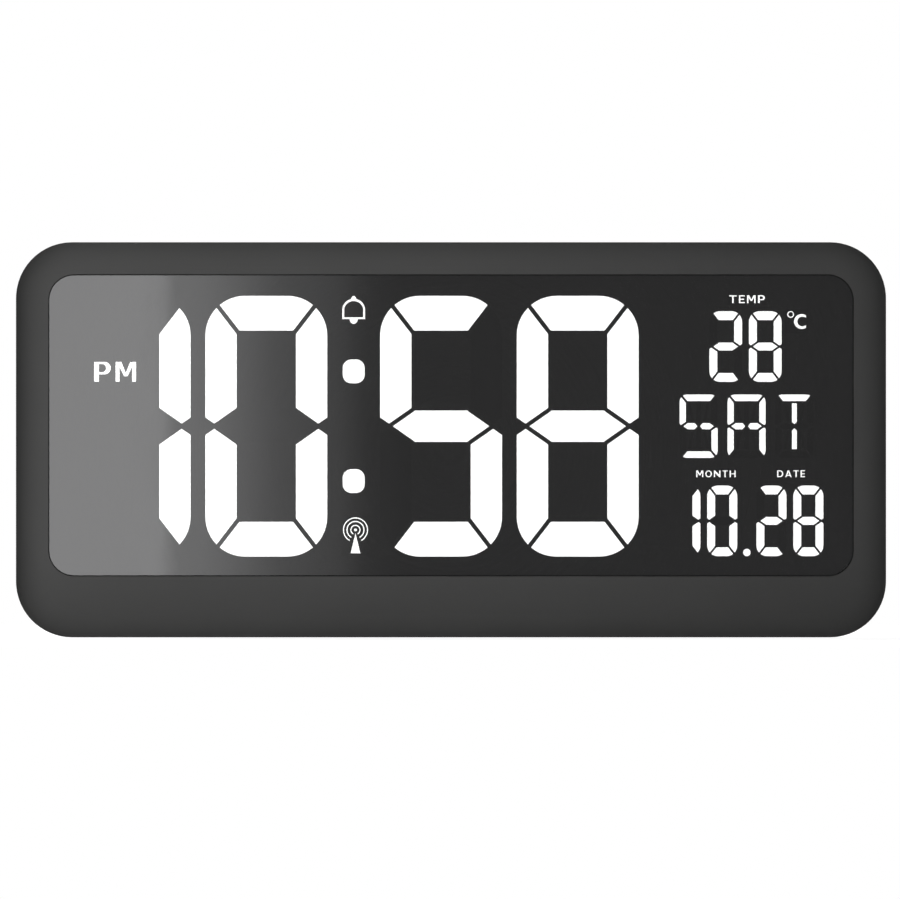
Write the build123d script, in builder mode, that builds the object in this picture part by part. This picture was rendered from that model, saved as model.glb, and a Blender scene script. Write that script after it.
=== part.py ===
from build123d import *
import os
from functools import cache
from math import atan2, degrees, hypot, sqrt

# Wall and desk clock with a half-mirror lens and a lit segment display.
# Millimetres. +X right and +Z up as seen from the front, the display faces -Y.
# Origin: middle of the flat underside, half way through the depth.

os.makedirs("parts", exist_ok=True)

# Driving sizes: main digits and their row, from left to right
digit_width = 53.6
digit_height = 114.2
digit_bar_x = 14.06
digit_bar_z = 15.55
digit_corner = 17.5
digit_mitre = 2.0
digit_gap = 1.5
digit_notch = 3.6
digit_notch_depth = 5.6
digit_tip = 4.1
digit_space = 6.05
colon_width = 10.0
colon_height = 10.8
colon_round = 4.0
colon_pitch = 47.9
colon_space = 6.35
left_margin = 48.2
right_margin = 13.0
column_space = 17.5
top_margin = 9.13
bottom_margin = 8.37

# Driving sizes: side column with temperature, weekday and date
temp_digit_width = 14.65
date_digit_width = 13.5
small_height = 31.2
small_bar_x = 3.84
small_bar_z = 4.25
small_corner = 4.8
small_mitre = 0.5
small_gap = 0.5
small_notch = 0.95
small_notch_depth = 1.5
small_tip = 1.15
small_space = 2.6
point_radius = 1.8
point_space = 8.0
letter_width = 17.0
letter_height = 28.05
letter_bar_x = 3.1
letter_bar_z = 3.25
letter_corner = 3.4
letter_mitre = 0.4
letter_gap = 0.6
letter_notch = 0.8
letter_notch_depth = 1.25
letter_tip = 0.95
letter_split = 0.8
letter_bevel = 1.13
letter_stem = 2.5
letter_stem_tip = 0.68
letter_stem_point = 1.0
letter_slant = 1.6
letter_space = 3.9
temp_indent = 13.0
date_indent = 5.6
legend_height = 3.6
legend_space = 2.95
row_space = 5.15
temp_legend_width = 15.8
month_legend_width = 17.8
date_legend_width = 12.6
celsius_width = 9.2
celsius_height = 9.4
celsius_space = 1.8
legend_border = 0.7
legend_offset = 0.57
noon_width = 19.0
noon_height = 9.1
noon_space = 9.7
noon_rise = 76.1
bell_width = 10.3
bell_height = 12.4
mast_width = 11.5
mast_height = 16.5
mast_offset = 0.78
mast_rise = 1.15

# Driving sizes: bezel and shells
side_bar = 14.25
top_bar = 14.1
bottom_bar = 26.7
corner_radius = 24.5
window_radius = 11.3
wall = 2.4
crown_radius = 15.4
crown_inset = 10.4
crown_side_inset = 13.6
cavity_inset = 9.6
rim_break = 0.7
panel_thickness = 2.5
lip_thickness = 1.0
window_break = 0.2
front_depth = 16.0
rear_round = 3.0
parting_break = 0.35
tongue_length = 2.5
tongue_width = 1.2
tongue_gap = 0.15

# Driving sizes: lens stack and display
lens_thickness = 2.0
lens_overlap = 3.5
lens_gap = 0.3
tape_thickness = 0.3
tape_show = 0.4
film_thickness = 0.3
mask_lap = 0.2
reflector_depth = 9.0
light_room = 2.5
well_gap = 0.1
tab_width = 12.0
tab_length = 7.0
tab_thickness = 2.5
tab_spacing = 110.0
board_thickness = 1.6
board_margin = 2.4
board_corner = 3.0
led_width = 3.0
led_height = 2.8
led_thickness = 1.0
small_led_width = 1.1
led_pitch = 20.0

# Driving sizes: screws, bosses and fits
boss_radius = 3.0
tube_radius = 4.2
screw_radius = 1.3
screw_gap = 0.05
head_radius = 2.5
head_thickness = 1.6
head_gap = 0.35
cross_length = 2.8
cross_width = 0.7
cross_depth = 0.8
case_screw_length = 10.0
case_seat = 3.0
case_screw_side_inset = 25.0
case_screw_mid_x = 52.0
case_screw_top_inset = 6.5
case_screw_bottom_inset = 12.0
frame_screw_length = 6.0
board_screw_length = 6.5
board_screw_inset = 3.7
board_screw_mid_x = 57.0
key_screw_length = 6.0
pilot_spare = 1.0
overrun = 1.0
pick_margin = 0.05

# Driving sizes: swing-out legs
leg_hinge_inset = 42.0
leg_length = 62.0
leg_thickness = 5.0
leg_barrel_radius = 3.5
leg_top = 16.7
leg_pin_radius = 1.5
leg_ear = 3.0
leg_ear_radius = 5.6
leg_gap = 0.3
leg_flush = 0.2
leg_fit = 0.06
leg_end_round = 1.6
leg_rib_depth = 1.0
leg_rib_width = 2.0
finger_room = 14.0
bay_wall = 2.0
pin_fit = 0.02

# Driving sizes: keys on the back
key_count = 6
key_pitch = 16.0
key_radius = 4.0
key_flange_radius = 5.2
key_flange = 1.4
key_gap = 0.2
key_travel_room = 1.6
key_round = 0.6
key_drop = 54.5
key_recess = 2.0
key_panel_width = 104.0
key_panel_height = 16.0
key_panel_round = 4.0
key_board_width = 112.0
key_board_height = 14.0
key_post_spacing = 100.0
switch_width = 6.0
switch_thickness = 3.5
switch_bore_depth = 2.2
plunger_radius = 1.7
plunger_length = 2.6
plunger_out = 1.5
plunger_gap = 0.1

# Driving sizes: wall hanging
keyhole_spacing = 200.0
keyhole_drop = 37.5
keyhole_radius = 4.5
keyhole_slot = 4.6
keyhole_rise = 9.0
keyhole_room = 4.5
keyhole_pocket_wall = 1.6

# Driving sizes: back-up cell and its door
cell_radius = 10.0
cell_thickness = 3.2
cell_gap = 0.3
cell_rise = 66.0
cell_wall = 1.6
contact_thickness = 0.4
contact_width = 7.0
contact_length = 12.0
contact_tail = 2.0
contact_lap = 3.4
tail_gap = 0.25
door_width = 36.0
door_height = 34.0
door_thickness = 2.0
door_gap = 0.3
door_flush = 0.2
door_pin_radius = 0.7
door_pin_length = 2.0
door_fit = 0.06
door_corner = 2.0
grip_count = 3
grip_pitch = 2.2
grip_width = 1.0
grip_length = 14.0
grip_depth = 0.5

# Driving sizes: parts on the display board
jack_width = 9.0
jack_height = 11.0
jack_length = 13.2
jack_bore_radius = 3.1
jack_bore_depth = 9.5
jack_pin_radius = 1.0
jack_gap = 0.2
jack_hole_radius = 5.2
controller_width = 10.0
controller_thickness = 1.4
driver_width = 6.0
driver_length = 10.4
driver_thickness = 1.6
crystal_radius = 1.5
crystal_length = 8.0
capacitor_radius = 4.0
capacitor_length = 9.0
capacitor_pitch = 13.0
buzzer_radius = 6.0
buzzer_thickness = 6.5
buzzer_hole_radius = 1.0
buzzer_ring_radius = 4.2
buzzer_hole_count = 6
thermistor_radius = 1.4
thermistor_leg_radius = 0.35
thermistor_leg_length = 6.0
thermistor_leg_pitch = 1.6
vent_count = 5
vent_pitch = 4.4
vent_width = 2.0
vent_length = 16.0
rod_radius = 4.0
rod_length = 64.0
rod_drop = 30.5
coil_length = 26.0
coil_wall = 1.5
clip_width = 5.0
clip_wall = 1.6
clip_spacing = 52.0
clip_fit = 0.05
ribbon_width = 10.0
ribbon_thickness = 0.3
ribbon_pad = 4.0
ribbon_drop = 12.0
lead_radius = 0.6
label_width = 70.0
label_height = 30.0
label_depth = 0.4
label_round = 2.0

# Places on the display board, as shares of its width and height from its middle
jack_place_shares = (0.237, -0.357)
controller_place_shares = (-0.16, -0.02)
driver_place_shares = ((-0.33, 0.05), (0.14, 0.05), (0.33, 0.05))
crystal_place_shares = (-0.16, -0.14)
capacitor_place_shares = (0.31, -0.30)
buzzer_place_shares = (-0.237, -0.23)
thermistor_place_shares = (0.43, -0.22)
label_place_shares = (0.30, 0.02)

# Depths, front to back
service_depth = jack_length + jack_gap
stack_depth = (lip_thickness + tape_thickness + lens_thickness + film_thickness
               + reflector_depth + board_thickness + service_depth)
case_depth = stack_depth + wall
front_y = -case_depth / 2
lip_y = front_y + lip_thickness
tape_y = lip_y + tape_thickness
lens_y = tape_y + lens_thickness
film_y = lens_y + film_thickness
block_y = film_y + reflector_depth - light_room
reflector_y = film_y + reflector_depth
board_y = reflector_y + board_thickness
rear_y = case_depth / 2
cover_inner_y = rear_y - wall
panel_y = front_y + panel_thickness
split_y = front_y + front_depth

# Side column, bottom to top, centred on the main digits
column_rows = (small_height + legend_space + legend_height + row_space + letter_height
               + row_space + small_height + legend_space + legend_height)
window_bottom = bottom_bar
window_height = max(digit_height, column_rows) + top_margin + bottom_margin
digit_z = window_bottom + bottom_margin + (window_height - top_margin - bottom_margin - digit_height) / 2
column_z = digit_z + (digit_height - column_rows) / 2
date_z = column_z
date_legend_z = date_z + small_height + legend_space
letter_z = date_legend_z + legend_height + row_space
temp_z = letter_z + letter_height + row_space
temp_legend_z = temp_z + small_height + legend_space

# Display row, left to right
date_row = (date_indent + small_bar_x + small_space + date_digit_width + point_space
            + date_digit_width + small_space + date_digit_width)
letter_row = 3 * letter_width + 2 * letter_space
temp_row = temp_indent + 2 * temp_digit_width + small_space + celsius_space + celsius_width
column_width = max(date_row, letter_row, temp_row)
window_width = (left_margin + digit_bar_x + digit_space + digit_width + colon_space + colon_width
                + colon_space + digit_width + digit_space + digit_width + column_space
                + column_width + right_margin)
hour_tens_x = -window_width / 2 + left_margin
hour_ones_x = hour_tens_x + digit_bar_x + digit_space
colon_x = hour_ones_x + digit_width + colon_space
minute_tens_x = colon_x + colon_width + colon_space
minute_ones_x = minute_tens_x + digit_width + digit_space
column_x = minute_ones_x + digit_width + column_space
temp_tens_x = column_x + temp_indent
temp_ones_x = temp_tens_x + temp_digit_width + small_space
celsius_x = temp_ones_x + temp_digit_width + celsius_space
month_tens_x = column_x + date_indent
month_ones_x = month_tens_x + small_bar_x + small_space
point_x = month_ones_x + date_digit_width + point_space / 2
day_tens_x = month_ones_x + date_digit_width + point_space
day_ones_x = day_tens_x + date_digit_width + small_space
noon_x = hour_tens_x - noon_space - noon_width
noon_z = digit_z + noon_rise
colon_mid_x = colon_x + colon_width / 2
digit_mid_z = digit_z + digit_height / 2

# Case, lens, reflector and board outlines
case_width = window_width + 2 * side_bar
case_height = window_height + top_bar + bottom_bar
case_mid_z = case_height / 2
window_mid_z = window_bottom + window_height / 2
crown_spread = crown_radius - crown_inset
crown_side_spread = crown_radius - crown_side_inset
crown_corner = corner_radius + (crown_spread + crown_side_spread) / 2
rim_inner_drop = crown_radius - sqrt(crown_radius**2 - max(crown_side_inset - wall, 0) ** 2)
rim_y = front_y + rim_inner_drop + wall
lens_width = window_width + 2 * lens_overlap
lens_height = window_height + 2 * lens_overlap
lens_radius = window_radius + lens_overlap
board_width = lens_width - 2 * board_margin
board_height = lens_height - 2 * board_margin

# Screw places, as seen from the front
case_side_x = case_width / 2 - case_screw_side_inset
case_top_z = case_height - case_screw_top_inset
case_points = [
    (x, z)
    for z in (case_screw_bottom_inset, case_top_z)
    for x in (-case_side_x, -case_screw_mid_x, case_screw_mid_x, case_side_x)
]
tab_reach = lens_height / 2 + tab_length / 2
tab_points = [
    (x, window_mid_z + side * tab_reach)
    for side in (-1, 1)
    for x in (-tab_spacing, 0, tab_spacing)
]
board_side_x = board_width / 2 - board_screw_inset
board_reach = board_height / 2 - board_screw_inset
board_points = [
    (x, window_mid_z + side * board_reach)
    for side in (-1, 1)
    for x in (-board_side_x, -board_screw_mid_x, board_screw_mid_x, board_side_x)
]
seat_y = split_y + case_seat

# Keys, legs, keyholes and cell bay
key_z = case_height - key_drop
key_points = [((i - (key_count - 1) / 2) * key_pitch, key_z) for i in range(key_count)]
key_panel_y = rear_y - key_recess
key_panel_inner_y = key_panel_y - wall
key_flange_y = key_panel_inner_y - key_gap
plunger_y = key_flange_y - key_flange
switch_y = plunger_y - plunger_out
key_board_y = switch_y - switch_thickness
key_post_points = [(side * key_post_spacing / 2, key_z) for side in (-1, 1)]
keyhole_z = case_height - keyhole_drop
leg_hinge_x = case_width / 2 - leg_hinge_inset
leg_axis_y = rear_y - leg_flush - leg_barrel_radius
bay_y = leg_axis_y - leg_barrel_radius - leg_gap
bay_top = leg_top + leg_gap
bay_outer_x = leg_hinge_x + leg_barrel_radius + leg_gap
bay_inner_x = leg_hinge_x - leg_length - finger_room
door_y = rear_y - door_flush
door_inner_y = door_y - door_thickness
door_seat_y = door_inner_y - door_gap
door_axis_y = door_y - door_thickness / 2
door_bottom = cell_rise - door_height / 2
door_axis_z = door_bottom + door_thickness / 2
cell_top_y = door_seat_y - contact_thickness - cell_gap
cell_bottom_y = cell_top_y - cell_thickness
cell_floor_y = cell_bottom_y - contact_thickness
cell_cup_y = cell_floor_y - cell_wall
rod_y = cover_inner_y - cell_gap - rod_radius - coil_wall
rod_z = case_height - rod_drop


def at_depth(y):
    # Sketch plane in X and Z at depth y, where a positive extrude runs towards the front
    return Plane.XZ.offset(-y)


def board_place(shares):
    return (shares[0] * board_width, window_mid_z + shares[1] * board_height)


def save(piece, name):
    piece.part.label = name
    export_step(piece.part, f"parts/{name}.step")


@cache
def seven_bars(width, height, bar_x, bar_z, corner, mitre, gap, notch, notch_depth, tip, grow):
    # Seven separate bars, lower left corner at the origin, each grown by the same margin
    w = width + 2 * grow
    h = height + 2 * grow
    bx = bar_x + 2 * grow
    bz = bar_z + 2 * grow
    cut = gap - 2 * grow
    mid = h / 2
    half_mid = bx / 2
    window_h = mid - half_mid - bz
    mitre_x = (bx + mitre) / 2
    slope = degrees(atan2(bz, bx - mitre))
    tip_x = tip + grow
    tip_slope = degrees(atan2(half_mid, bx - tip_x))
    tip_length = hypot(half_mid, bx - tip_x)
    with BuildSketch() as bars:
        RectangleRounded(w, h, corner + grow, align=(Align.MIN, Align.MIN))
        with Locations((bx, bz), (bx, mid + half_mid)):
            Rectangle(w - 2 * bx, window_h, align=(Align.MIN, Align.MIN), mode=Mode.SUBTRACT)
        for x, turn in ((mitre_x, 1), (w - mitre_x, -1)):
            with Locations(Location((x, bz / 2), turn * slope), Location((x, h - bz / 2), -turn * slope)):
                Rectangle(2 * hypot(bx, bz), cut, mode=Mode.SUBTRACT)
        for x, turn in (((tip_x + bx) / 2, 1), (w - (tip_x + bx) / 2, -1)):
            with Locations(
                Location((x, mid + half_mid / 2), turn * tip_slope),
                Location((x, mid - half_mid / 2), -turn * tip_slope),
            ):
                Rectangle(tip_length + cut, cut, mode=Mode.SUBTRACT)
        for x, turn in ((0, 1), (w, -1)):
            Polygon(
                (x, mid + notch - grow),
                (x, mid - notch + grow),
                (x + turn * notch_depth, mid),
                align=None,
                mode=Mode.SUBTRACT,
            )
    return bars.sketch


def right_bars(width, height, bar_x, bar_z, corner, mitre, gap, notch, notch_depth, tip, grow):
    # Only the two right-hand bars of a digit, moved to the origin
    digit = seven_bars(width, height, bar_x, bar_z, corner, mitre, gap, notch, notch_depth, tip, grow)
    with BuildSketch() as bars:
        with Locations((bar_x - width, 0)):
            add(digit.faces().sort_by(Axis.X)[-2:])
    return bars.sketch


@cache
def letter_bars(grow):
    # Fourteen bars: a thin seven-bar frame with its middle bar split in two points, two pointed stems
    # and four slants
    w = letter_width + 2 * grow
    h = letter_height + 2 * grow
    bx = letter_bar_x + 2 * grow
    bz = letter_bar_z + 2 * grow
    cut = letter_gap - 2 * grow
    stem = letter_stem + 2 * grow
    slant = letter_slant + 2 * grow
    mid = h / 2
    low = bz + cut
    high = mid - bx / 2 - cut
    near = bx + cut
    far = (w - stem) / 2 - cut
    waist = letter_split / 2 - grow
    stem_tip = mid - letter_stem_tip + grow
    frame = seven_bars(letter_width, letter_height, letter_bar_x, letter_bar_z, letter_corner, letter_mitre,
                       letter_gap, letter_notch, letter_notch_depth, letter_tip, grow)
    with BuildSketch() as bars:
        add(frame)
        Polygon(
            (w / 2 - waist, mid),
            (w / 2 - waist - letter_bevel, mid - bx / 2),
            (w / 2 + waist + letter_bevel, mid - bx / 2),
            (w / 2 + waist, mid),
            (w / 2 + waist + letter_bevel, mid + bx / 2),
            (w / 2 - waist - letter_bevel, mid + bx / 2),
            align=None,
            mode=Mode.SUBTRACT,
        )
        for up in (lambda z: z, lambda z: h - z):
            Polygon(
                ((w - stem) / 2, up(low)),
                ((w + stem) / 2, up(low)),
                ((w + stem) / 2, up(stem_tip - letter_stem_point)),
                (w / 2, up(stem_tip)),
                ((w - stem) / 2, up(stem_tip - letter_stem_point)),
                align=None,
            )
            for across in (lambda x: x, lambda x: w - x):
                Polygon(
                    (across(near), up(low)),
                    (across(near + slant), up(low)),
                    (across(far), up(high)),
                    (across(far - slant), up(high)),
                    align=None,
                )
    return bars.sketch


def main_digit(grow):
    return seven_bars(digit_width, digit_height, digit_bar_x, digit_bar_z, digit_corner, digit_mitre,
                      digit_gap, digit_notch, digit_notch_depth, digit_tip, grow)


def main_tens(grow):
    return right_bars(digit_width, digit_height, digit_bar_x, digit_bar_z, digit_corner, digit_mitre,
                      digit_gap, digit_notch, digit_notch_depth, digit_tip, grow)


def temp_digit(grow):
    return seven_bars(temp_digit_width, small_height, small_bar_x, small_bar_z, small_corner, small_mitre,
                      small_gap, small_notch, small_notch_depth, small_tip, grow)


def date_digit(grow):
    return seven_bars(date_digit_width, small_height, small_bar_x, small_bar_z, small_corner, small_mitre,
                      small_gap, small_notch, small_notch_depth, small_tip, grow)


def date_tens(grow):
    return right_bars(date_digit_width, small_height, small_bar_x, small_bar_z, small_corner, small_mitre,
                      small_gap, small_notch, small_notch_depth, small_tip, grow)


def colon_dots(grow):
    dot_z = colon_height / 2 + grow
    with BuildSketch() as dots:
        with Locations((colon_width / 2 + grow, dot_z), (colon_width / 2 + grow, dot_z + colon_pitch)):
            RectangleRounded(colon_width + 2 * grow, colon_height + 2 * grow, colon_round + grow)
    return dots.sketch


def date_point(grow):
    with BuildSketch() as point:
        Circle(point_radius + grow, align=(Align.MIN, Align.MIN))
    return point.sketch


def legend_window(width, height):
    # A plain window a border larger than the sign that it lights
    def window(grow):
        margin = 2 * (legend_border + grow)
        with BuildSketch() as frame:
            Rectangle(width + margin, height + margin, align=(Align.MIN, Align.MIN))
        return frame.sketch

    return window


def legend_place(x, z):
    return (x - legend_border, z - legend_border)


temp_mid_x = temp_tens_x + temp_digit_width + small_space / 2
month_mid_x = (month_tens_x + month_ones_x + date_digit_width) / 2
day_mid_x = day_tens_x + date_digit_width + small_space / 2
temp_legend_x = temp_mid_x - temp_legend_width / 2 + legend_offset
month_legend_x = month_mid_x - month_legend_width / 2 + legend_offset
date_legend_x = day_mid_x - date_legend_width / 2 + legend_offset
colon_z = digit_mid_z - (colon_pitch + colon_height) / 2
bell_place = legend_place(colon_mid_x - bell_width / 2, digit_z + digit_height - bell_height)
mast_place = legend_place(colon_mid_x - mast_width / 2 + mast_offset, digit_z + mast_rise)
celsius_place = legend_place(celsius_x, temp_z + small_height - celsius_height)

# Each set of light blocks: its windows and where their lower left corners are
light_sets = {
    "hour_tens": [(main_tens, (hour_tens_x, digit_z))],
    "hour_ones": [(main_digit, (hour_ones_x, digit_z))],
    "colon_dots": [(colon_dots, (colon_x, colon_z))],
    "minute_tens": [(main_digit, (minute_tens_x, digit_z))],
    "minute_ones": [(main_digit, (minute_ones_x, digit_z))],
    "bell_window": [(legend_window(bell_width, bell_height), bell_place)],
    "mast_window": [(legend_window(mast_width, mast_height), mast_place)],
    "temperature_digits": [(temp_digit, (temp_tens_x, temp_z)), (temp_digit, (temp_ones_x, temp_z))],
    "celsius_window": [(legend_window(celsius_width, celsius_height), celsius_place)],
    "weekday_letters": [
        (letter_bars, (column_x + i * (letter_width + letter_space), letter_z)) for i in range(3)
    ],
    "month_digits": [(date_tens, (month_tens_x, date_z)), (date_digit, (month_ones_x, date_z))],
    "date_point": [(date_point, (point_x - point_radius, date_z))],
    "day_digits": [(date_digit, (day_tens_x, date_z)), (date_digit, (day_ones_x, date_z))],
    "legend_windows": [
        (legend_window(noon_width, noon_height), legend_place(noon_x, noon_z)),
        (legend_window(temp_legend_width, legend_height), legend_place(temp_legend_x, temp_legend_z)),
        (legend_window(month_legend_width, legend_height), legend_place(month_legend_x, date_legend_z)),
        (legend_window(date_legend_width, legend_height), legend_place(date_legend_x, date_legend_z)),
    ],
}


def placed_windows(windows, grow):
    with BuildSketch() as placed:
        for window, (x, z) in windows:
            with Locations((x - grow, z - grow)):
                add(window(grow))
    return placed.sketch


light_faces = {name: placed_windows(windows, 0) for name, windows in light_sets.items()}
well_faces = {name: placed_windows(windows, well_gap) for name, windows in light_sets.items()}
film_faces = {name: placed_windows(windows, -mask_lap) for name, windows in light_sets.items()}


def case_outline(inset):
    with Locations((0, case_mid_z)):
        RectangleRounded(case_width - 2 * inset, case_height - 2 * inset, corner_radius - inset)


def lens_outline(inset):
    with Locations((0, window_mid_z)):
        RectangleRounded(lens_width - 2 * inset, lens_height - 2 * inset, lens_radius - inset)


def window_outline():
    with Locations((0, window_mid_z)):
        RectangleRounded(window_width, window_height, window_radius)


def discs(points, radius):
    with Locations(*points):
        Circle(radius)


# Front housing: crowned bezel, steeper at its sides, lip for the lens, bosses for the frame and rear cover
with BuildPart() as front_housing:
    with BuildSketch(at_depth(split_y + crown_radius)):
        with Locations((0, case_mid_z)):
            RectangleRounded(case_width + 2 * crown_side_spread, case_height + 2 * crown_spread, crown_corner)
    extrude(amount=front_depth + crown_radius)
    fillet(front_housing.faces().sort_by(Axis.Y)[0].edges(), crown_radius)
    with BuildSketch(at_depth(split_y)):
        case_outline(0)
    extrude(amount=front_depth, mode=Mode.INTERSECT)
    wall_end_y = split_y - pick_margin
    walls = front_housing.faces().filter_by(lambda face: face.bounding_box().max.Y > wall_end_y)
    fillet(walls.edges().filter_by(lambda edge: edge.bounding_box().max.Y < wall_end_y), rim_break)
    chamfer(front_housing.faces().sort_by(Axis.Y)[-1].edges(), parting_break)
    with BuildSketch(at_depth(split_y)):
        case_outline(wall)
    extrude(amount=split_y - rim_y, mode=Mode.SUBTRACT)
    with BuildSketch(at_depth(rim_y)):
        case_outline(cavity_inset)
    extrude(amount=rim_y - panel_y, mode=Mode.SUBTRACT)
    with BuildSketch(at_depth(panel_y)):
        lens_outline(-lens_gap)
    extrude(amount=panel_y - lip_y, mode=Mode.SUBTRACT)
    with BuildSketch(at_depth(lip_y)):
        window_outline()
    extrude(amount=lip_thickness, mode=Mode.SUBTRACT)
    chamfer(front_housing.faces().sort_by(Axis.Y)[0].inner_wires()[0].edges(), window_break)
    with BuildSketch(at_depth(split_y)):
        discs(case_points, boss_radius)
    extrude(amount=split_y - panel_y)
    with BuildSketch(at_depth(reflector_y - tab_thickness)):
        discs(tab_points, boss_radius)
    extrude(amount=reflector_y - tab_thickness - panel_y)
    with BuildSketch(at_depth(split_y)):
        discs(case_points, screw_radius + screw_gap)
    extrude(amount=case_screw_length - case_seat + pilot_spare, mode=Mode.SUBTRACT)
    with BuildSketch(at_depth(reflector_y - tab_thickness)):
        discs(tab_points, screw_radius + screw_gap)
    extrude(amount=frame_screw_length - tab_thickness + pilot_spare, mode=Mode.SUBTRACT)
save(front_housing, "front_housing")

# Foam tape frame between the lip and the lens, with a narrow edge that shows inside the lip
with BuildPart() as lens_tape:
    with BuildSketch(at_depth(tape_y)):
        lens_outline(0)
        with Locations((0, window_mid_z)):
            RectangleRounded(
                window_width - 2 * tape_show,
                window_height - 2 * tape_show,
                window_radius - tape_show,
                mode=Mode.SUBTRACT,
            )
    extrude(amount=tape_thickness)
save(lens_tape, "lens_tape")

# Half-mirror lens
with BuildPart() as mirror_lens:
    with BuildSketch(at_depth(lens_y)):
        lens_outline(0)
    extrude(amount=lens_thickness)
save(mirror_lens, "mirror_lens")

# Black film with a window in front of each light block, a little smaller than the block
with BuildPart() as mask_film:
    with BuildSketch(at_depth(film_y)):
        lens_outline(0)
        for faces in film_faces.values():
            add(faces, mode=Mode.SUBTRACT)
    extrude(amount=film_thickness)
save(mask_film, "mask_film")

# Reflector frame: a well for each light block, tabs to the housing, holes for the board screws
with BuildPart() as reflector_frame:
    with BuildSketch(at_depth(reflector_y)):
        lens_outline(0)
        for faces in well_faces.values():
            add(faces, mode=Mode.SUBTRACT)
    extrude(amount=reflector_depth)
    with BuildSketch(at_depth(reflector_y)):
        for x, z in tab_points:
            side = 1 if z > window_mid_z else -1
            with Locations((x, z - side * tab_length / 2)):
                Rectangle(tab_width, 2 * tab_length)
        discs(tab_points, screw_radius + head_gap)
    extrude(amount=tab_thickness)
    with BuildSketch(at_depth(reflector_y)):
        discs(tab_points, screw_radius + head_gap)
    extrude(amount=tab_thickness, mode=Mode.SUBTRACT)
    with BuildSketch(at_depth(reflector_y)):
        discs(board_points, screw_radius + screw_gap)
    extrude(amount=board_screw_length - board_thickness + pilot_spare, mode=Mode.SUBTRACT)
save(reflector_frame, "reflector_frame")

# Light blocks, one set for each digit, sign or group
for name, faces in light_faces.items():
    with BuildPart() as light_block:
        with BuildSketch(at_depth(block_y)):
            add(faces)
        extrude(amount=block_y - film_y)
    save(light_block, name)

# Display board
with BuildPart() as display_board:
    with BuildSketch(at_depth(board_y)):
        with Locations((0, window_mid_z)):
            RectangleRounded(board_width, board_height, board_corner)
        with Locations(*board_points):
            Circle(screw_radius + head_gap, mode=Mode.SUBTRACT)
    extrude(amount=board_thickness)
save(display_board, "display_board")


def led_spots(faces):
    # Lamps spaced along the long side of each light block
    spots = []
    for face in faces.faces():
        box = face.bounding_box()
        middle = box.center()
        count = max(1, round(max(box.size.X, box.size.Y) / led_pitch))
        for i in range(count):
            share = (i + 1 / 2) / count - 1 / 2
            if box.size.X > box.size.Y:
                spots.append((middle.X + share * box.size.X, middle.Y))
            else:
                spots.append((middle.X, middle.Y + share * box.size.Y))
    return spots


# Lamps on the front of the display board, one or more behind each block
with BuildPart() as led_chips:
    with BuildSketch(at_depth(reflector_y)):
        for name, faces in light_faces.items():
            small = name in ("weekday_letters", "date_point")
            with Locations(*led_spots(faces)):
                Rectangle(small_led_width if small else led_width, small_led_width if small else led_height)
    extrude(amount=led_thickness)
save(led_chips, "led_chips")

# Parts on the back of the display board
with BuildPart() as controller_chip:
    with BuildSketch(at_depth(board_y + controller_thickness)):
        with Locations(board_place(controller_place_shares)):
            Rectangle(controller_width, controller_width)
    extrude(amount=controller_thickness)
save(controller_chip, "controller_chip")

with BuildPart() as driver_chips:
    with BuildSketch(at_depth(board_y + driver_thickness)):
        with Locations(*[board_place(shares) for shares in driver_place_shares]):
            Rectangle(driver_length, driver_width)
    extrude(amount=driver_thickness)
save(driver_chips, "driver_chips")

crystal_x, crystal_z = board_place(crystal_place_shares)
with BuildPart() as crystal:
    with BuildSketch(Plane.YZ.offset(crystal_x - crystal_length / 2)):
        with Locations((board_y + crystal_radius, crystal_z)):
            Circle(crystal_radius)
    extrude(amount=crystal_length)
save(crystal, "crystal")

capacitor_x, capacitor_z = board_place(capacitor_place_shares)
with BuildPart() as capacitors:
    with BuildSketch(at_depth(board_y + capacitor_length)):
        with Locations((capacitor_x, capacitor_z)):
            with GridLocations(capacitor_pitch, 0, 2, 1):
                Circle(capacitor_radius)
    extrude(amount=capacitor_length)
save(capacitors, "capacitors")

buzzer_point = board_place(buzzer_place_shares)
with BuildPart() as buzzer:
    with BuildSketch(at_depth(board_y + buzzer_thickness)):
        discs([buzzer_point], buzzer_radius)
    extrude(amount=buzzer_thickness)
    with BuildSketch(at_depth(board_y + buzzer_thickness)):
        discs([buzzer_point], buzzer_hole_radius)
    extrude(amount=buzzer_thickness / 2, mode=Mode.SUBTRACT)
save(buzzer, "buzzer")

thermistor_x, thermistor_z = board_place(thermistor_place_shares)
with BuildPart() as thermistor:
    with BuildSketch(at_depth(board_y + thermistor_leg_length)):
        with Locations((thermistor_x, thermistor_z)):
            with GridLocations(thermistor_leg_pitch, 0, 2, 1):
                Circle(thermistor_leg_radius)
    extrude(amount=thermistor_leg_length)
    with Locations((thermistor_x, board_y + thermistor_leg_length, thermistor_z)):
        Sphere(thermistor_radius)
save(thermistor, "thermistor")

jack_point = board_place(jack_place_shares)
with BuildPart() as dc_jack:
    with BuildSketch(at_depth(board_y + jack_length)):
        with Locations(jack_point):
            Rectangle(jack_width, jack_height)
    extrude(amount=jack_length)
    with BuildSketch(at_depth(board_y + jack_length)):
        discs([jack_point], jack_bore_radius)
        with Locations(jack_point):
            Circle(jack_pin_radius, mode=Mode.SUBTRACT)
    extrude(amount=jack_bore_depth, mode=Mode.SUBTRACT)
save(dc_jack, "dc_jack")

# Aerial: ferrite rod with a wound sleeve, held in two clips on the rear cover
with BuildPart() as ferrite_rod:
    with BuildSketch(Plane.YZ.offset(-rod_length / 2)):
        with Locations((rod_y, rod_z)):
            Circle(rod_radius)
    extrude(amount=rod_length)
save(ferrite_rod, "ferrite_rod")

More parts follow.
